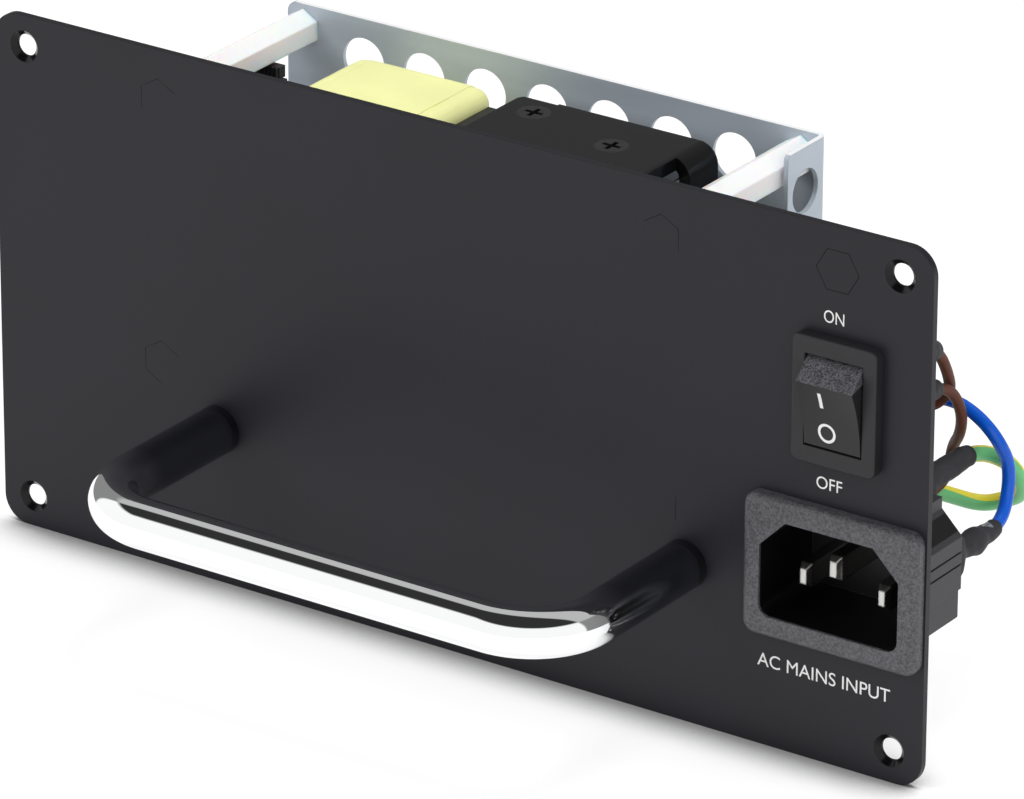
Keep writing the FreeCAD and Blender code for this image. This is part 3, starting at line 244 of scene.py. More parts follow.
blue = finish("blue_pvc", (0.002, 0.098, 0.60), 0.26, spread=0.05, grain=500, depth=0.01, edge=0,
              specular=0.35)
green = finish("green_pvc", (0.15, 0.52, 0.20), 0.30, spread=0.05, grain=500, depth=0.01, edge=0)
yellow = finish("yellow_pvc", (0.78, 0.68, 0.05), 0.30, spread=0.05, grain=500, depth=0.01, edge=0)
ink = finish("white_ink", (0.80, 0.80, 0.79), 0.6, spread=0.03, depth=0.004, edge=0)


def countersinks():
    """Glossier mouths of the four panel holes, coloured near-black as painted shade in the countersinks."""
    tree = powder.node_tree
    x, _, z = axes(tree)
    across = off_centre(tree, calc(tree, "ABSOLUTE", x), HOLES[0])
    along = off_centre(tree, calc(tree, "ABSOLUTE", z), HOLES[1])
    squares = calc(tree, "MULTIPLY", across, across), calc(tree, "MULTIPLY", along, along)
    reach = calc(tree, "SQRT", calc(tree, "ADD", *squares))
    # near-black colour in the countersinks: painted shade
    shade_where(powder, calc(tree, "LESS_THAN", reach, HOLE_MOUTH), (0.003, 0.003, 0.004), 0.16)


def rocker_grain():
    """Coarse speckled grain on the rocker's two bevels; its face stays satin."""
    tree = satin_plastic.node_tree
    sockets = tree.nodes["Principled BSDF"].inputs
    _, y, z = axes(tree)
    along_z = calc(tree, "MULTIPLY", calc(tree, "SUBTRACT", z, PIVOT_Z * MM), math.cos(TILT))
    along_y = calc(tree, "MULTIPLY", calc(tree, "SUBTRACT", y, PIVOT_Y * MM), math.sin(TILT))
    along = calc(tree, "ABSOLUTE", calc(tree, "SUBTRACT", along_z, along_y))
    bevel = calc(tree, "GREATER_THAN", along, RIDGE * MM)
    specks = noise(tree, place(tree), 3300, 2.0, 0.6)
    fine = noise(tree, place(tree), 1700, 2.0, 0.6)
    height = calc(tree, "ADD", calc(tree, "MULTIPLY", fine, 0.1), calc(tree, "MULTIPLY", specks, bevel))
    tree.links.new(bump(tree, height, 0.7, 0.09 * MM, 0.16 * MM), sockets["Normal"])
    speckled = shaded(tree, specks, (0.008, 0.008, 0.009), (0.13, 0.125, 0.14))
    mix(tree, "RGBA", bevel, sockets["Base Color"].links[0].from_socket, speckled, sockets["Base Color"])


def inlet_painted_shade():
    """Behind the panel the inlet takes a plain darker colour and its well is near-black: painted shade on
    both.
    """
    tree = inlet_plastic.node_tree
    x, y, z = axes(tree)
    inside = calc(tree, "MULTIPLY",
                  calc(tree, "LESS_THAN", off_centre(tree, x, INLET_CENTRE[0]), WELL_HALF[0]),
                  calc(tree, "LESS_THAN", off_centre(tree, z, INLET_CENTRE[1]), WELL_HALF[1]),
                  calc(tree, "GREATER_THAN", y, inlet_front + WELL_START))
    # darker colour behind the panel: painted shade that tones down the light on the inlet's side
    shade_where(inlet_plastic, calc(tree, "GREATER_THAN", y, 0.0), (0.033, 0.032, 0.037), 0.55)
    # near-black well: painted shade in the recess
    shade_where(inlet_plastic, inside, (0.0008, 0.0008, 0.001), 0.4)


def legs_painted_dark():
    """The bar's legs are rougher than the grip, and their darker colour is a painted reflection of the black
    panel they face.
    """
    tree = chrome.node_tree
    _, y, _ = axes(tree)
    # darker colour on the legs: painted reflection of the black panel
    shade_where(chrome, between(tree, y, 0.0, 1.0, -30 * MM, -21 * MM), (0.25, 0.26, 0.29), 0.24)


def edges_painted_bright():
    """Near-white top and bottom edges of the bracket's sheet: a painted highlight for its lit top edge."""
    tree = zinc.node_tree
    _, _, z = axes(tree)
    middle, half = (bracket_low.z + bracket_high.z) / 2, (bracket_high.z - bracket_low.z) / 2
    edge = calc(tree, "GREATER_THAN", off_centre(tree, z, middle), half - 0.04 * MM)
    # near-white edge colour: painted highlight
    shade_where(zinc, edge, (0.92, 0.93, 0.94), 0.5, 0.1)


def clear_glass():
    material, tree, shader = new_material("fuse_glass")
    shader.inputs["Transmission Weight"].default_value = 1.0
    shader.inputs["Roughness"].default_value = 0.03
    shader.inputs["IOR"].default_value = 1.5
    haze = noise(tree, place(tree), 300)
    tree.links.new(bump(tree, haze, 0.2, 0.01 * MM), shader.inputs["Normal"])
    return material


def dress(material, *names):
    for name in names:
        data = nodes[name].data
        data.materials.clear()
        data.materials.append(material)


for marking in (countersinks, rocker_grain, inlet_painted_shade, legs_painted_dark, edges_painted_bright):
    marking()

dress(powder, "front_panel")
dress(chrome, "handle")
dress(zinc, "rear_bracket")
dress(bright_steel, "handle_washers", "handle_screws", "clinch_spacers", "bracket_screws", "earth_stud",
      "earth_washer", "earth_nut", "switch_spring")
dress(nylon, "nylon_pillars", "switch_plunger")
dress(board, "circuit_board")
dress(ferrite, "transformer_core", "choke_core", "output_inductor_core")
dress(tape, "transformer_winding")
dress(anodised, "primary_heatsink", "secondary_heatsink")
dress(black_steel, "heatsink_screws")
dress(epoxy, "power_transistors", "bridge_rectifier", "output_rectifier", "optocoupler", "control_chip",
      "thermistor")
dress(pad, "insulating_pads")
dress(can_sleeve, "bulk_capacitor", "output_capacitors")
dress(film, "x_capacitor")
dress(ceramic, "y_capacitors")
dress(copper, "choke_windings", "output_inductor_coil")
dress(black_plastic, "transformer_bobbin", "choke_base", "output_connector", "switch_housing")
dress(inlet_plastic, "inlet_housing")
dress(satin_plastic, "switch_rocker")
dress(white_plastic, "input_header", "input_plug")
dress(tinned, "transformer_pins", "fuse_caps", "switch_terminals", "quick_connects", "earth_ring_terminal")
dress(nickel, "inlet_line_pin", "inlet_neutral_pin", "inlet_earth_pin")
dress(brass, "switch_contact")
dress(shrink, "switch_sleeves", "inlet_sleeves")
dress(clear_glass(), "fuse_tube")


# ---------------------------------------------------------------- making pieces
def put(name, data):
    """New object in the scene."""
    item = bpy.data.objects.new(name, data)
    bpy.context.scene.collection.objects.link(item)
    return item


def frame_slot(node):
    """Material slot that the record gives to a node."""
    return next(s["material_slot"] for s in frame["record"]["subparts"] if s["node"] == node)


def piece(name, mesh, body, slot, *materials):
    item = put(name, mesh)
    for material in materials:
        mesh.materials.append(material)
    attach(item, body)
    return item


def made(name, build, soft=True):
    """Mesh that a function fills, shaded smooth or flat."""
    mesh = bmesh.new()
    build(mesh)
    mesh.normal_update()
    data = bpy.data.meshes.new(name)
    mesh.to_mesh(data)
    mesh.free()
    data.polygons.foreach_set("use_smooth", [soft] * len(data.polygons))
    data.update()
    return data


def from_curve(curve):
    """Mesh of a curve or of lettering."""
    holder = put(curve.name, curve)
    bpy.context.view_layer.update()
    data = bpy.data.meshes.new_from_object(holder)
    bpy.data.objects.remove(holder)
    return data


def tube(mesh, line, section, sides, marking=None):
    """Adds a closed tube. section(i, angle) is its reach sideways and upwards, in a frame carried along the
    line; marking(i, angle) is a face's material number."""
    ahead = (line[1] - line[0]).normalized()
    side = ahead.cross(Vector((0, 0, 1))).normalized()
    loops = []
    for i, point in enumerate(line):
        step = (line[min(i + 1, len(line) - 1)] - line[max(i - 1, 0)]).normalized()
        side = (ahead.rotation_difference(step) @ side).normalized()
        ahead = step
        up = side.cross(ahead)
        ring = []
        for k in range(sides):
            wide, tall = section(i, 2 * math.pi * k / sides)
            ring.append(mesh.verts.new(point + side * wide + up * tall))
        loops.append(ring)
    for i, (near, far) in enumerate(zip(loops, loops[1:])):
        for k in range(sides):
            j = (k + 1) % sides
            face = mesh.faces.new((near[k], near[j], far[j], far[k]))
            if marking:
                face.material_index = marking(i, 2 * math.pi * (k + 0.5) / sides)
    mesh.faces.new(loops[0][::-1])
    mesh.faces.new(loops[-1])


def round_section(radius, start=0.0, twist=0.0):
    """Round section whose corners turn along the line."""
    def section(i, angle):
        turned = angle + start + twist * i
        return radius * math.cos(turned), radius * math.sin(turned)
    return section


# ---------------------------------------------------------------- leads
LEAD_SIDES, LEAD_STEPS = 30, 14
STRIPE_START = math.radians(-65)                   # where the earth lead's stripes begin
STRIPE_TWIST = math.radians(-1.045)                # their turn from one station to the next
STRIPE_HALF = math.radians(36)
LEADS = {                # radius, materials, and the line's control points in millimetres
    "line_lead": (0.9 * MM, (brown,), [
        (71.2, 24.02, 8.925), (71.2, 27.8, 8.1), (71.4, 31.2, 6.0), (71.4, 33.9, 1.6), (69.2, 37.1, -3.6),
        (65.6, 40.8, -7.8), (65.4, 40.2, -12.7), (64.2, 36.4, -15.0), (64.2, 30.6, -15.0)]),
    "switched_lead": (0.9 * MM, (brown,), [
        (71.2, 23.42, 15.925), (71.2, 26.6, 14.6), (71.0, 29.9, 9.9), (69.4, 33.8, 4.6), (65.6, 33.0, 1.0),
        (60.2, 29.0, 4.0), (54.4, 26.2, 8.0), (48.6, 25.7, 10.4), (43.6, 25.5, 11.7), (40.2, 23.9, 11.96),
        (38.4, 21.0, 11.96), (38.4, 19.0, 11.96)]),
    "neutral_lead": (1.05 * MM, (blue,), [
        (78.2, 31.2, -15.6), (78.2, 35.0, -15.5), (77.3, 38.5, -11.2), (76.8, 39.1, -7.1), (76.1, 37.8, -4.0),
        (74.6, 37.1, -1.5), (71.7, 37.4, 0.3), (67.7, 38.1, 1.3), (62.4, 35.8, 1.9), (55.8, 30.6, 0.6),
        (49.4, 26.8, 2.4), (43.8, 25.5, 3.7), (40.2, 23.9, 4.04), (38.4, 21.0, 4.04), (38.4, 19.0, 4.04)]),
    "earth_lead": (1.3 * MM, (green, yellow), [
        (71.2, 34.6, -6.2), (71.2, 38.6, -6.4), (74.5, 42.2, -8.3), (76.3, 44.1, -11.9), (75.3, 45.8, -15.4),
        (72.1, 46.9, -17.4), (68.3, 45.8, -18.9), (64.1, 42.9, -17.3), (59.9, 36.7, -13.9),
        (56.6, 27.4, -8.0), (54.6, 17.4, 2.0), (53.2, 9.0, 12.6), (53.4, 4.0, 21.4), (56.87, 1.5, 26.65),
        (60.97, 1.5, 29.52)]),
}


def spline_points(name, corners):
    """Points along the smooth line that the corner points control."""
    curve = bpy.data.curves.new(name + "_line", "CURVE")
    curve.dimensions = "3D"
    curve.resolution_u = LEAD_STEPS
    spline = curve.splines.new("NURBS")
    spline.points.add(len(corners) - 1)
    for point, corner in zip(spline.points, corners):
        point.co = (*(Vector(corner) * MM), 1)
    spline.order_u = 3
    spline.use_endpoint_u = True
    line = from_curve(curve)
    points = [v.co.copy() for v in line.vertices]
    bpy.data.meshes.remove(line)
    return points


def in_stripe(_, angle):
    """1 on the earth lead's two opposite yellow stripes, which its section carries round, and 0 between."""
    return 1 if abs((angle + math.pi / 2) % math.pi - math.pi / 2) < STRIPE_HALF else 0


def lead(name, radius, skins, corners):
    points = spline_points(name, corners)
    striped = len(skins) > 1
    section = round_section(radius, STRIPE_START, STRIPE_TWIST) if striped else round_section(radius)
    marking = in_stripe if striped else None
    data = made(name + "_wire", lambda mesh: tube(mesh, points, section, LEAD_SIDES, marking))
    item = piece(name + "_wire", data, "root", frame_slot(name), *skins)
    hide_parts(name)
    return points


lead_lines = {name: lead(name, *values) for name, values in LEADS.items()}

# ---------------------------------------------------------------- shrunk sleeves
# Stations: distance from the housing, and half width of the long and of the short side; millimetres.
SWITCH_STATIONS = ((0, 3.6, 2.1), (7.2, 3.6, 2.1), (9.2, 2.3, 2.0), (11.0, 1.9, 1.85), (13.0, 1.65, 1.65))
INLET_STATIONS = ((0, 3.6, 2.1), (7.6, 3.6, 2.1), (9.6, 1.6, 1.5), (11.5, 1.9, 1.8), (13.8, 2.25, 2.1),
                  (16.4, 1.65, 1.6))
EARTH_STATIONS = ((0, 3.6, 2.1), (8.2, 3.6, 2.1), (10.2, 2.2, 1.9), (13.5, 2.0, 1.9), (17.5, 1.95, 1.9),
                  (20.5, 1.8, 1.8))
# Lead, whether its rear end is meant, whether the long side stands upright, height of the terminal, grip on
# the lead, half width at the end, and stations.
SLEEVES = {
    "switch_sleeves": (("switched_lead", False, False, 16.15, 3.3, 1.15, SWITCH_STATIONS),
                       ("line_lead", False, False, 9.15, 3.4, 1.15, SWITCH_STATIONS)),
    "inlet_sleeves": (("line_lead", True, True, -15.0, 3.2, 1.2, INLET_STATIONS),
                      ("neutral_lead", False, True, -15.0, 2.6, 1.38, INLET_STATIONS),
                      ("earth_lead", False, False, -6.2, 2.4, 1.65, EARTH_STATIONS)),
}
CREASES = ((0.020, 3, 1.1, 1), (0.013, 5, -1.6, 2), (0.009, 2, 3.1, 3))    # depth, lobes, pitch, shift
SLEEVE_SIDES, SLEEVE_STEPS = 40, 44
FLAT_END, FLAT_FADE = 9.4, 2.4                     # millimetres: where the squarish section has become round
FADE_IN, FADE_OUT, LEAST_CREASE = 4, 2.0, 0.25     # millimetres over which creases come and go; their least
MOUTH_NARROWING = 0.84


def clamped(value, low=0.0, high=1.0):
    return max(low, min(high, value))


def eased(value, stations, column):
    """Value of a smooth line through the stations."""
    for low, high in zip(stations, stations[1:]):
        if value <= high[0]:
            share = max(0.0, (value - low[0]) / (high[0] - low[0]))
            share *= share * (3 - 2 * share)
            return low[column] + (high[column] - low[column]) * share
    return stations[-1][column]


def shrunk(mesh, start_y, seed, lead_name, rear_end, upright, height, grip, end, stations):
    """Sleeve that lies flat over a receptacle, swells over the crimp and grips the lead."""
    points = lead_lines[lead_name][::-1] if rear_end else lead_lines[lead_name]
    start = Vector((points[0].x, start_y, height * MM))
    line = [start.lerp(points[0], t / SLEEVE_STEPS) for t in range(SLEEVE_STEPS)]
    gone = 0.0
    for here, after in zip(points, points[1:]):
        line.append(here)
        gone += (after - here).length
        if gone > grip * MM:
            break
    places = [0.0]
    for here, after in zip(line, line[1:]):
        places.append(places[-1] + (after - here).length / MM)
    stations += ((places[-1], end, end),)

    def section(i, angle):
        across, upwards, at = math.cos(angle), math.sin(angle), places[i]
        power = 2 + FLAT_FADE * clamped((FLAT_END - at) / FLAT_FADE)
        square = (abs(across) ** power + abs(upwards) ** power) ** (-1 / power)
        drawn = min(1.0, at / FADE_IN) * min(1.0, max(0.0, (places[-1] - at) / FADE_OUT) + LEAST_CREASE)
        crease = 1 + drawn * sum(depth * math.sin(lobes * angle + pitch * at + shift * seed)
                                 for depth, lobes, pitch, shift in CREASES)
        if i == len(line) - 1:
            crease *= MOUTH_NARROWING
        long_side, short_side = eased(at, stations, 1) * MM, eased(at, stations, 2) * MM
        wide, tall = (short_side, long_side) if upright else (long_side, short_side)
        return wide * across * square * crease, tall * upwards * square * crease

    tube(mesh, line, section, SLEEVE_SIDES)


def sleeves(name, housing):
    start_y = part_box(housing)[1].y + 0.02 * MM

    def build(mesh):
        for number, sleeve in enumerate(SLEEVES[name]):
            shrunk(mesh, start_y, 1.3 * number + len(name), *sleeve)

    item = piece(name + "_shrunk", made(name + "_shrunk", build), "root", frame_slot(name), shrink)
    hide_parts(name)


sleeves("switch_sleeves", "switch_housing")
sleeves("inlet_sleeves", "inlet_housing")


# ---------------------------------------------------------------- handle
def smooth_handle():
    """The bent bar with round bends, for clean reflections."""
    bend, leg_steps, bend_steps, grip_steps, sides = 12 * MM, 8, 40, 24, 72
    low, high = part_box("handle")
    radius, height = (high.z - low.z) / 2, (low.z + high.z) / 2
    half, foot, reach = (high.x - low.x) / 2 - radius, high.y, low.y + radius
    knee = reach + bend
    turns = [math.pi / 2 * t / bend_steps for t in range(bend_steps + 1)]
    line = [(-half, foot + (knee - foot) * t / leg_steps) for t in range(leg_steps)]
    line += [(bend - half - bend * math.cos(a), knee - bend * math.sin(a)) for a in turns]
    line += [(bend - half + 2 * (half - bend) * t / grip_steps, reach) for t in range(1, grip_steps)]
    line += [(half - bend + bend * math.sin(a), knee - bend * math.cos(a)) for a in turns]
    line += [(half, knee + (foot - knee) * t / leg_steps) for t in range(1, leg_steps + 1)]
    line = [Vector((x, y, height)) for x, y in line]
    data = made("handle_bar", lambda mesh: tube(mesh, line, round_section(radius), sides))
    item = piece("handle_bar", data, "root", frame_slot("handle"), chrome)
    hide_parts("handle")


smooth_handle()


# ---------------------------------------------------------------- taped winding
def rounded_outline(half_y, half_z, radius, steps, side_steps):
    """Points of a rounded rectangle, anticlockwise."""
    def on_arc(turn, t):
        sign_y, sign_z = ((1, 1), (-1, 1), (-1, -1), (1, -1))[turn % 4]
        angle = math.pi / 2 * (turn + t / steps)
        return (sign_y * (half_y - radius) + radius * math.cos(angle),
                sign_z * (half_z - radius) + radius * math.sin(angle))

    outline = []
    for turn in range(4):
        outline += [on_arc(turn, t) for t in range(steps + 1)]
        (y0, z0), (y1, z1) = outline[-1], on_arc(turn + 1, 0)
        outline += [(y0 + (y1 - y0) * t / side_steps, z0 + (z1 - z0) * t / side_steps)
                    for t in range(1, side_steps)]
    return outline


def taped_block():
    """Winding under tape: soft corners, a slight crown, small wrinkles and one more wrap round the middle."""
    radius, crown_rise, cuts = 2.7 * MM, 0.16 * MM, 44
    low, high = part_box("transformer_winding")
    low.x, high.x = low.x - 1.6 * MM, high.x + 0.8 * MM      # the tape laps over the core's cheeks
    centre, half = (low + high) / 2, (high - low) / 2

    def core_point(spot):
        """Point of the inner box that the rounded corners are struck from."""
        return Vector([clamped(c, radius - h, h - radius) for c, h in zip(spot, half)])

    def block(mesh):
        bmesh.ops.create_cube(mesh, size=2)
        bmesh.ops.subdivide_edges(mesh, edges=mesh.edges[:], cuts=cuts, use_grid_fill=True)
        for vert in mesh.verts:
            share = Vector([1.5 * c - 0.5 * c ** 3 for c in vert.co])
            spot = Vector([c * h for c, h in zip(share, half)])
            core = core_point(spot)
            out = (spot - core).normalized()
            crown = crown_rise * (1 - share.x ** 2) * (1 - share.y ** 2)
            dents = 0.05 * MM * waves.noise(spot * 260)
            folds = 0.03 * MM * waves.noise(Vector((spot.x * 1400, spot.y * 160, 0)))
            vert.co = centre + core + out * (radius + crown - crown_rise + (dents + folds))

    item = piece("winding_tape", made("winding_tape", block), "root", frame_slot("transformer_winding"), tape)
    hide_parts("transformer_winding")

    wrap = [Vector((0, y, z)) for y, z in rounded_outline(half.y, half.z, radius, 14, 10)]
    left, right, lip = -half.x + 3.6 * MM, half.x - 3.4 * MM, 0.2 * MM
    profile = ((left, -0.25), (left, 0.02), (left + lip, 0.06), (0, 0.08),      # X, and lift in millimetres
               (right - lip, 0.06), (right, 0.02), (right, -0.25))

    def band(mesh):
        loops = []
        for n, (edge, lift) in enumerate(profile):
            ring = []
            for spot in wrap:
                out = (spot - core_point(spot)).normalized()
                waver = 0.22 * MM * waves.noise(Vector((n // 3, spot.y * 90, spot.z * 90))) if edge else 0.0
                ring.append(mesh.verts.new(centre + Vector((edge + waver, 0, 0)) + spot + out * lift * MM))
            loops.append(ring)
        for near, far in zip(loops, loops[1:]):
            for k in range(len(wrap)):
                j = (k + 1) % len(wrap)
                mesh.faces.new((near[k], far[k], far[j], near[j]))
        bmesh.ops.recalc_face_normals(mesh, faces=mesh.faces[:])

    piece("winding_wrap", made("winding_wrap", band), "root", frame_slot("transformer_winding"), tape)


taped_block()

# ---------------------------------------------------------------- lettering and marks
CAP_HEIGHT = 0.7                                   # of the lettering's size
PRINT_Y = panel_low.y - 0.012 * MM
LETTERING = (            # name, text, height, narrowing, and X and Z of its centre
    ("on_lettering", "ON", 2.0 * MM, 0.84, 69.9 * MM, 29.3 * MM),
    ("off_lettering", "OFF", 2.0 * MM, 0.94, 69.6 * MM, 2.1 * MM),
    ("inlet_lettering", "AC MAINS INPUT", 2.2 * MM, 0.98, 69.3 * MM, -29.9 * MM),
)
WITNESS_MARKS = (        # hexagon's X, Z, size and turn, its corners in use, line width and lift; millimetres
    (70.3, 37.0, 6.5, 30, (0, 1, 2, 3, 4, 5, 0), 0.14, 0.02),
    (39.0, 35.2, 6.2, 0, (5, 0, 1, 2), 0.12, 0.015),
    (39.0, -8.85, 6.4, 0, (5, 0), 0.12, 0.015),
    (-55.0, 35.6, 6.4, 0, (0, 1, 2, 3), 0.10, 0.012),
    (-55.0, -8.85, 6.4, 0, (0, 1, 2, 3, 4), 0.10, 0.012),
)


def lettering(name, text, height, narrow, x, z):
    """Printed text that stands on the panel's front, facing -Y."""
    curve = bpy.data.curves.new(name, "FONT")
    curve.body = text
    curve.size = height / CAP_HEIGHT
    curve.align_x = "CENTER"
    curve.align_y = "CENTER"
    curve.extrude = 0.01 * MM
    data = from_curve(curve)
    turn = Matrix.Rotation(math.pi / 2, 4, "X") @ Matrix.Diagonal((narrow, 1, 1, 1))
    data.transform(Matrix.Translation(Vector((x, PRINT_Y, z))) @ turn)
    piece(name, data, "root", frame_slot("front_panel"), ink)


for label in LETTERING:
    lettering(*label)


def outline_strip(mesh, corners, width, lift):
    """Thin raised line along corners on the panel's front."""
    for (x0, z0), (x1, z1) in zip(corners, corners[1:]):
        run = Vector((x1 - x0, 0, z1 - z0))
        side = run.normalized().cross(Vector((0, 1, 0))) * width / 2
        crest = side * 0.4
        near, far = Vector((x0, panel_low.y, z0)), Vector((x1, panel_low.y, z1))
        base = [mesh.verts.new(p + Vector((0, 0.01 * MM, 0)))
                for p in (near - side, near + side, far + side, far - side)]
        top = [mesh.verts.new(p - Vector((0, lift, 0)))
               for p in (near - crest, near + crest, far + crest, far - crest)]
        for k in range(4):
            j = (k + 1) % 4
            mesh.faces.new((base[k], base[j], top[j], top[k]))
        mesh.faces.new(top[::-1])


def hexagon(x, z, size, turn):
    radius = size / math.sqrt(3)
    return [((x + radius * math.cos(a)) * MM, (z + radius * math.sin(a)) * MM)
            for a in [math.radians(30 + turn + 60 * k) for k in range(6)]]


def witness_marks():
    """Raised outlines of the pressed-in fasteners that show faintly through the paint; their near-black
    colour is painted shade, the shade along a groove.
    """
    def build(mesh):
        for x, z, size, turn, used, width, lift in WITNESS_MARKS:
            corners = hexagon(x, z, size, turn)
            outline_strip(mesh, [corners[k] for k in used], width * MM, lift * MM)
        bmesh.ops.recalc_face_normals(mesh, faces=mesh.faces[:])

    piece("witness_marks", made("witness_marks", build), "root", frame_slot("front_panel"), crease_painted_shade)


witness_marks()


# ---------------------------------------------------------------- output connector's latch
def connector_latch():
    """Ribbed locking wall on top of the output connector."""
    ribs, plain, deep, rise, sunk = 9, 1.6 * MM, 2.2 * MM, 1.9 * MM, 0.05 * MM
    low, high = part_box("output_connector")
    left, right, back = low.x + 0.3 * MM, high.x - 0.3 * MM, high.y - 0.1 * MM
    pitch = (right - left) / ribs
    outline = [(left, back), (right, back)]
    for k in reversed(range(ribs)):
        outline += [(left + (k + share) * pitch, back - depth) for share, depth in
                    ((1.0, plain), (0.775, plain), (0.775, deep), (0.225, deep), (0.225, plain))]
    outline.append((left, back - plain))

    def build(mesh):
        lower, upper = [[mesh.verts.new((x, y, z)) for x, y in outline]
                        for z in (high.z - sunk, high.z + rise)]
        for k in range(len(outline)):
            j = (k + 1) % len(outline)
            mesh.faces.new((lower[k], lower[j], upper[j], upper[k]))
        mesh.faces.new(lower)
        mesh.faces.new(upper)
        bmesh.ops.recalc_face_normals(mesh, faces=mesh.faces[:])

    data = made("connector_latch", build, soft=False)
    piece("connector_latch", data, "root", frame_slot("output_connector"), black_plastic)


connector_latch()


# ---------------------------------------------------------------- the rocker's print
def on_rocker(x, along):
    """Point just above the rocker's dished face, by its X and its distance along the face; millimetres."""
    forward = FACE_REACH + FACE_DISH * (along / RIDGE) ** 2 + 0.02
    y, z = -forward, along
    return Vector((x, PIVOT_Y + y * math.cos(TILT) - z * math.sin(TILT),
                   PIVOT_Z + y * math.sin(TILT) + z * math.cos(TILT))) * MM


def rocker_marks():
    """The I and O of a power switch, printed on the rocker; millimetres."""
    bar_x, bar_half, bar_start, bar_length, bar_steps = 70.02, 0.30, 1.35, 2.9, 10
    ring_x, ring_centre, ring_radii, ring_stretch, ring_steps = 70.4, -3.1, (1.12, 1.34, 1.56), 1.06, 48

    def bar(mesh):
        rows = [[mesh.verts.new(on_rocker(bar_x + side * bar_half, bar_start + bar_length * t / bar_steps))
                 for side in (-1, 1)] for t in range(bar_steps + 1)]
        for near, far in zip(rows, rows[1:]):
            mesh.faces.new((near[0], near[1], far[1], far[0]))

    def circle(mesh):
        turns = [2 * math.pi * t / ring_steps for t in range(ring_steps)]
        rows = [[mesh.verts.new(on_rocker(ring_x + r * math.cos(a),
                                          ring_centre + r * ring_stretch * math.sin(a)))
                 for r in ring_radii] for a in turns]
        for k, near in enumerate(rows):
            far = rows[(k + 1) % ring_steps]
            for side in range(2):
                mesh.faces.new((near[side], near[side + 1], far[side + 1], far[side]))

    for name, build in (("rocker_on_mark", bar), ("rocker_off_mark", circle)):
        piece(name, made(name, build), "rocker", frame_slot("switch_rocker"), ink)


rocker_marks()


# ---------------------------------------------------------------- floor, light and camera
def stage_floor():
    """Floor that camera, glossy and transmission rays see white, but for a soft shadow close to the part,
    which is its own shadow, weakened, and a painted shadow that an ambient occlusion node draws into the
    floor's glow; other rays meet a plain pale surface."""
    size, height = 3.0, panel_low.z - 0.02 * MM
    mesh = bpy.data.meshes.new("floor")
    mesh.from_pydata([(-size, -size, height), (size, -size, height), (size, size, height),
                      (-size, size, height)], [], [(0, 1, 2, 3)])
    material, tree, shader = new_material("white_floor")
    shader.inputs["Roughness"].default_value = 0.9
    shader.inputs["Specular IOR Level"].default_value = 0.0
    path = add_node(tree, "ShaderNodeLightPath")
    seen = calc(tree, "MAXIMUM", path.outputs["Is Camera Ray"], path.outputs["Is Glossy Ray"],
                path.outputs["Is Transmission Ray"])
    mix(tree, "RGBA", seen, (0.95, 0.95, 0.95, 1), (0.28, 0.28, 0.28, 1), shader.inputs["Base Color"])
    # painted shadow: the floor's glow dims where ambient occlusion finds the part within 13 mm
    nearby = add_node(tree, "ShaderNodeAmbientOcclusion", Distance=13 * MM)
    nearby.samples = 12
    white = between(tree, nearby.outputs["AO"], 0.0, 0.80, 0.5, 0.87)
    shader.inputs["Emission Color"].default_value = (1, 1, 1, 1)
    tree.links.new(calc(tree, "MULTIPLY", seen, white), shader.inputs["Emission Strength"])
    mesh.materials.append(material)
    put("floor", mesh)


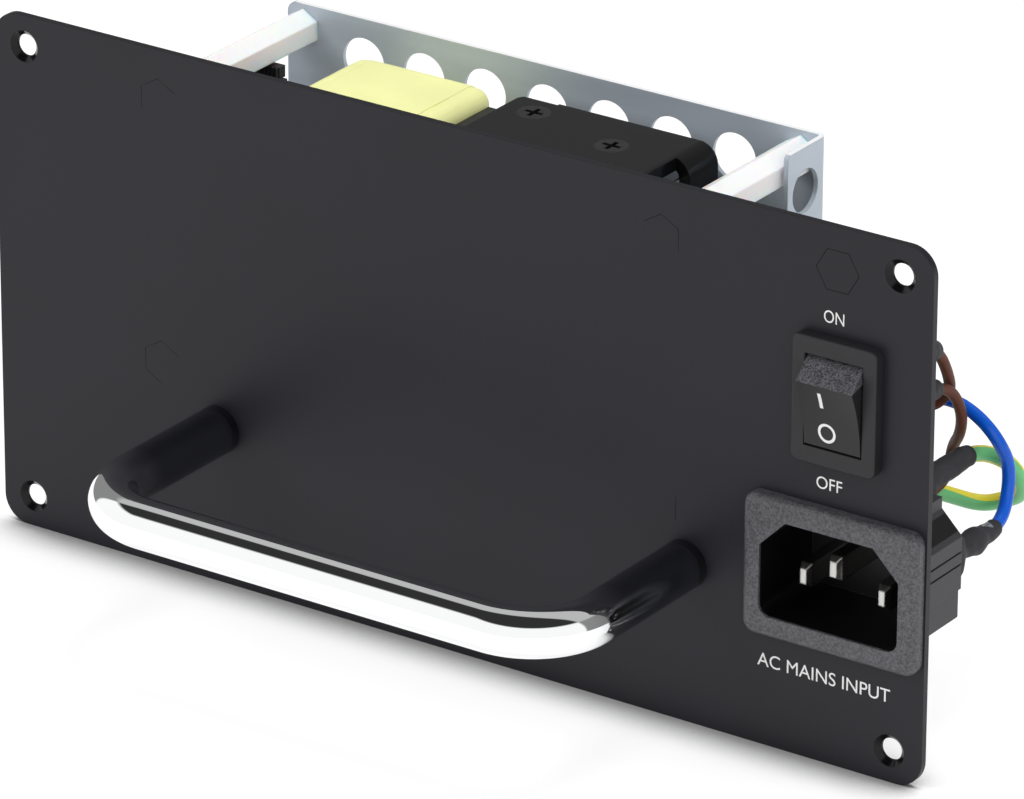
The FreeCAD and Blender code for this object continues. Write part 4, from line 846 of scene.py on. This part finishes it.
def world_light():
    """White studio, even and softer for diffuse rays; reflections see a dark flag overhead and a dim rear."""
    even = 0.62
    world = bpy.data.worlds.new("studio")
    bpy.context.scene.world = world
    world.use_nodes = True
    tree = world.node_tree
    background = tree.nodes["Background"]
    background.inputs["Color"].default_value = (1, 1, 1, 1)
    path = add_node(tree, "ShaderNodeLightPath")
    way = add_node(tree, "ShaderNodeTexCoord")
    split = add_node(tree, "ShaderNodeSeparateXYZ")
    tree.links.new(way.outputs["Generated"], split.inputs["Vector"])
    overhead = between(tree, split.outputs["Z"], 0.0, 1.0, 0.64, 0.70)
    front = between(tree, split.outputs["Y"], 1.0, 0.0, 0.03, 0.08)
    ahead = calc(tree, "MULTIPLY", front, between(tree, overhead, 1.0, 0.03, 0.0, 1.0))
    behind = calc(tree, "MULTIPLY", calc(tree, "SUBTRACT", 1.0, front),
                  between(tree, overhead, 0.25, 0.50, 0.0, 1.0))
    glossy = path.outputs["Is Glossy Ray"]
    clear = calc(tree, "MAXIMUM", path.outputs["Is Camera Ray"], path.outputs["Is Transmission Ray"])
    diffuse = calc(tree, "SUBTRACT", 1.0, calc(tree, "MAXIMUM", clear, glossy))
    strength = calc(tree, "ADD", calc(tree, "MULTIPLY", diffuse, even),
                    calc(tree, "MULTIPLY", glossy, calc(tree, "ADD", ahead, behind)))
    tree.links.new(calc(tree, "MAXIMUM", strength, clear), background.inputs["Strength"])


def softbox(name, spot, size, watts):
    """Rectangular lamp that faces the part and stays out of reflections."""
    lamp = bpy.data.lights.new(name, "AREA")
    lamp.shape = "RECTANGLE"
    lamp.size, lamp.size_y = size
    lamp.energy = watts
    holder = put(name, lamp)
    holder.visible_glossy = False
    holder.location = spot
    holder.rotation_euler = (-Vector(spot)).to_track_quat("-Z", "Y").to_euler()


def camera():
    """Long lens set by two angles, a small roll, a distance and an aim."""
    azimuth, elevation, roll = math.radians(34.374), math.radians(23.758), math.radians(0.217)
    distance, aim_x, aim_y = 1265.18 * MM, 9.259 * MM, -1.667 * MM
    back = Vector((math.sin(azimuth) * math.cos(elevation), -math.cos(azimuth) * math.cos(elevation),
                   math.sin(elevation)))
    right = Vector((0, 0, 1)).cross(back).normalized()
    up = back.cross(right)
    across = right * math.cos(roll) + up * math.sin(roll)
    upward = up * math.cos(roll) - right * math.sin(roll)
    lens = bpy.data.cameras.new("camera")
    lens.sensor_width = 36.0
    lens.lens = 288.43
    lens.clip_end = 20.0
    holder = put("camera", lens)
    turn = Matrix((across, upward, back)).transposed()
    holder.matrix_world = Matrix.Translation(turn @ Vector((aim_x, aim_y, distance))) @ turn.to_4x4()
    bpy.context.scene.camera = holder


stage_floor()
world_light()
softbox("key", (-0.85, -1.0, 0.95), (0.9, 0.9), 6.5)
softbox("fill", (1.15, -0.75, 0.6), (0.8, 1.0), 4.5)
softbox("top", (0.3, 0.22, 1.6), (0.45, 0.45), 8.7)
camera()
bpy.context.scene.view_settings.view_transform = "Standard"
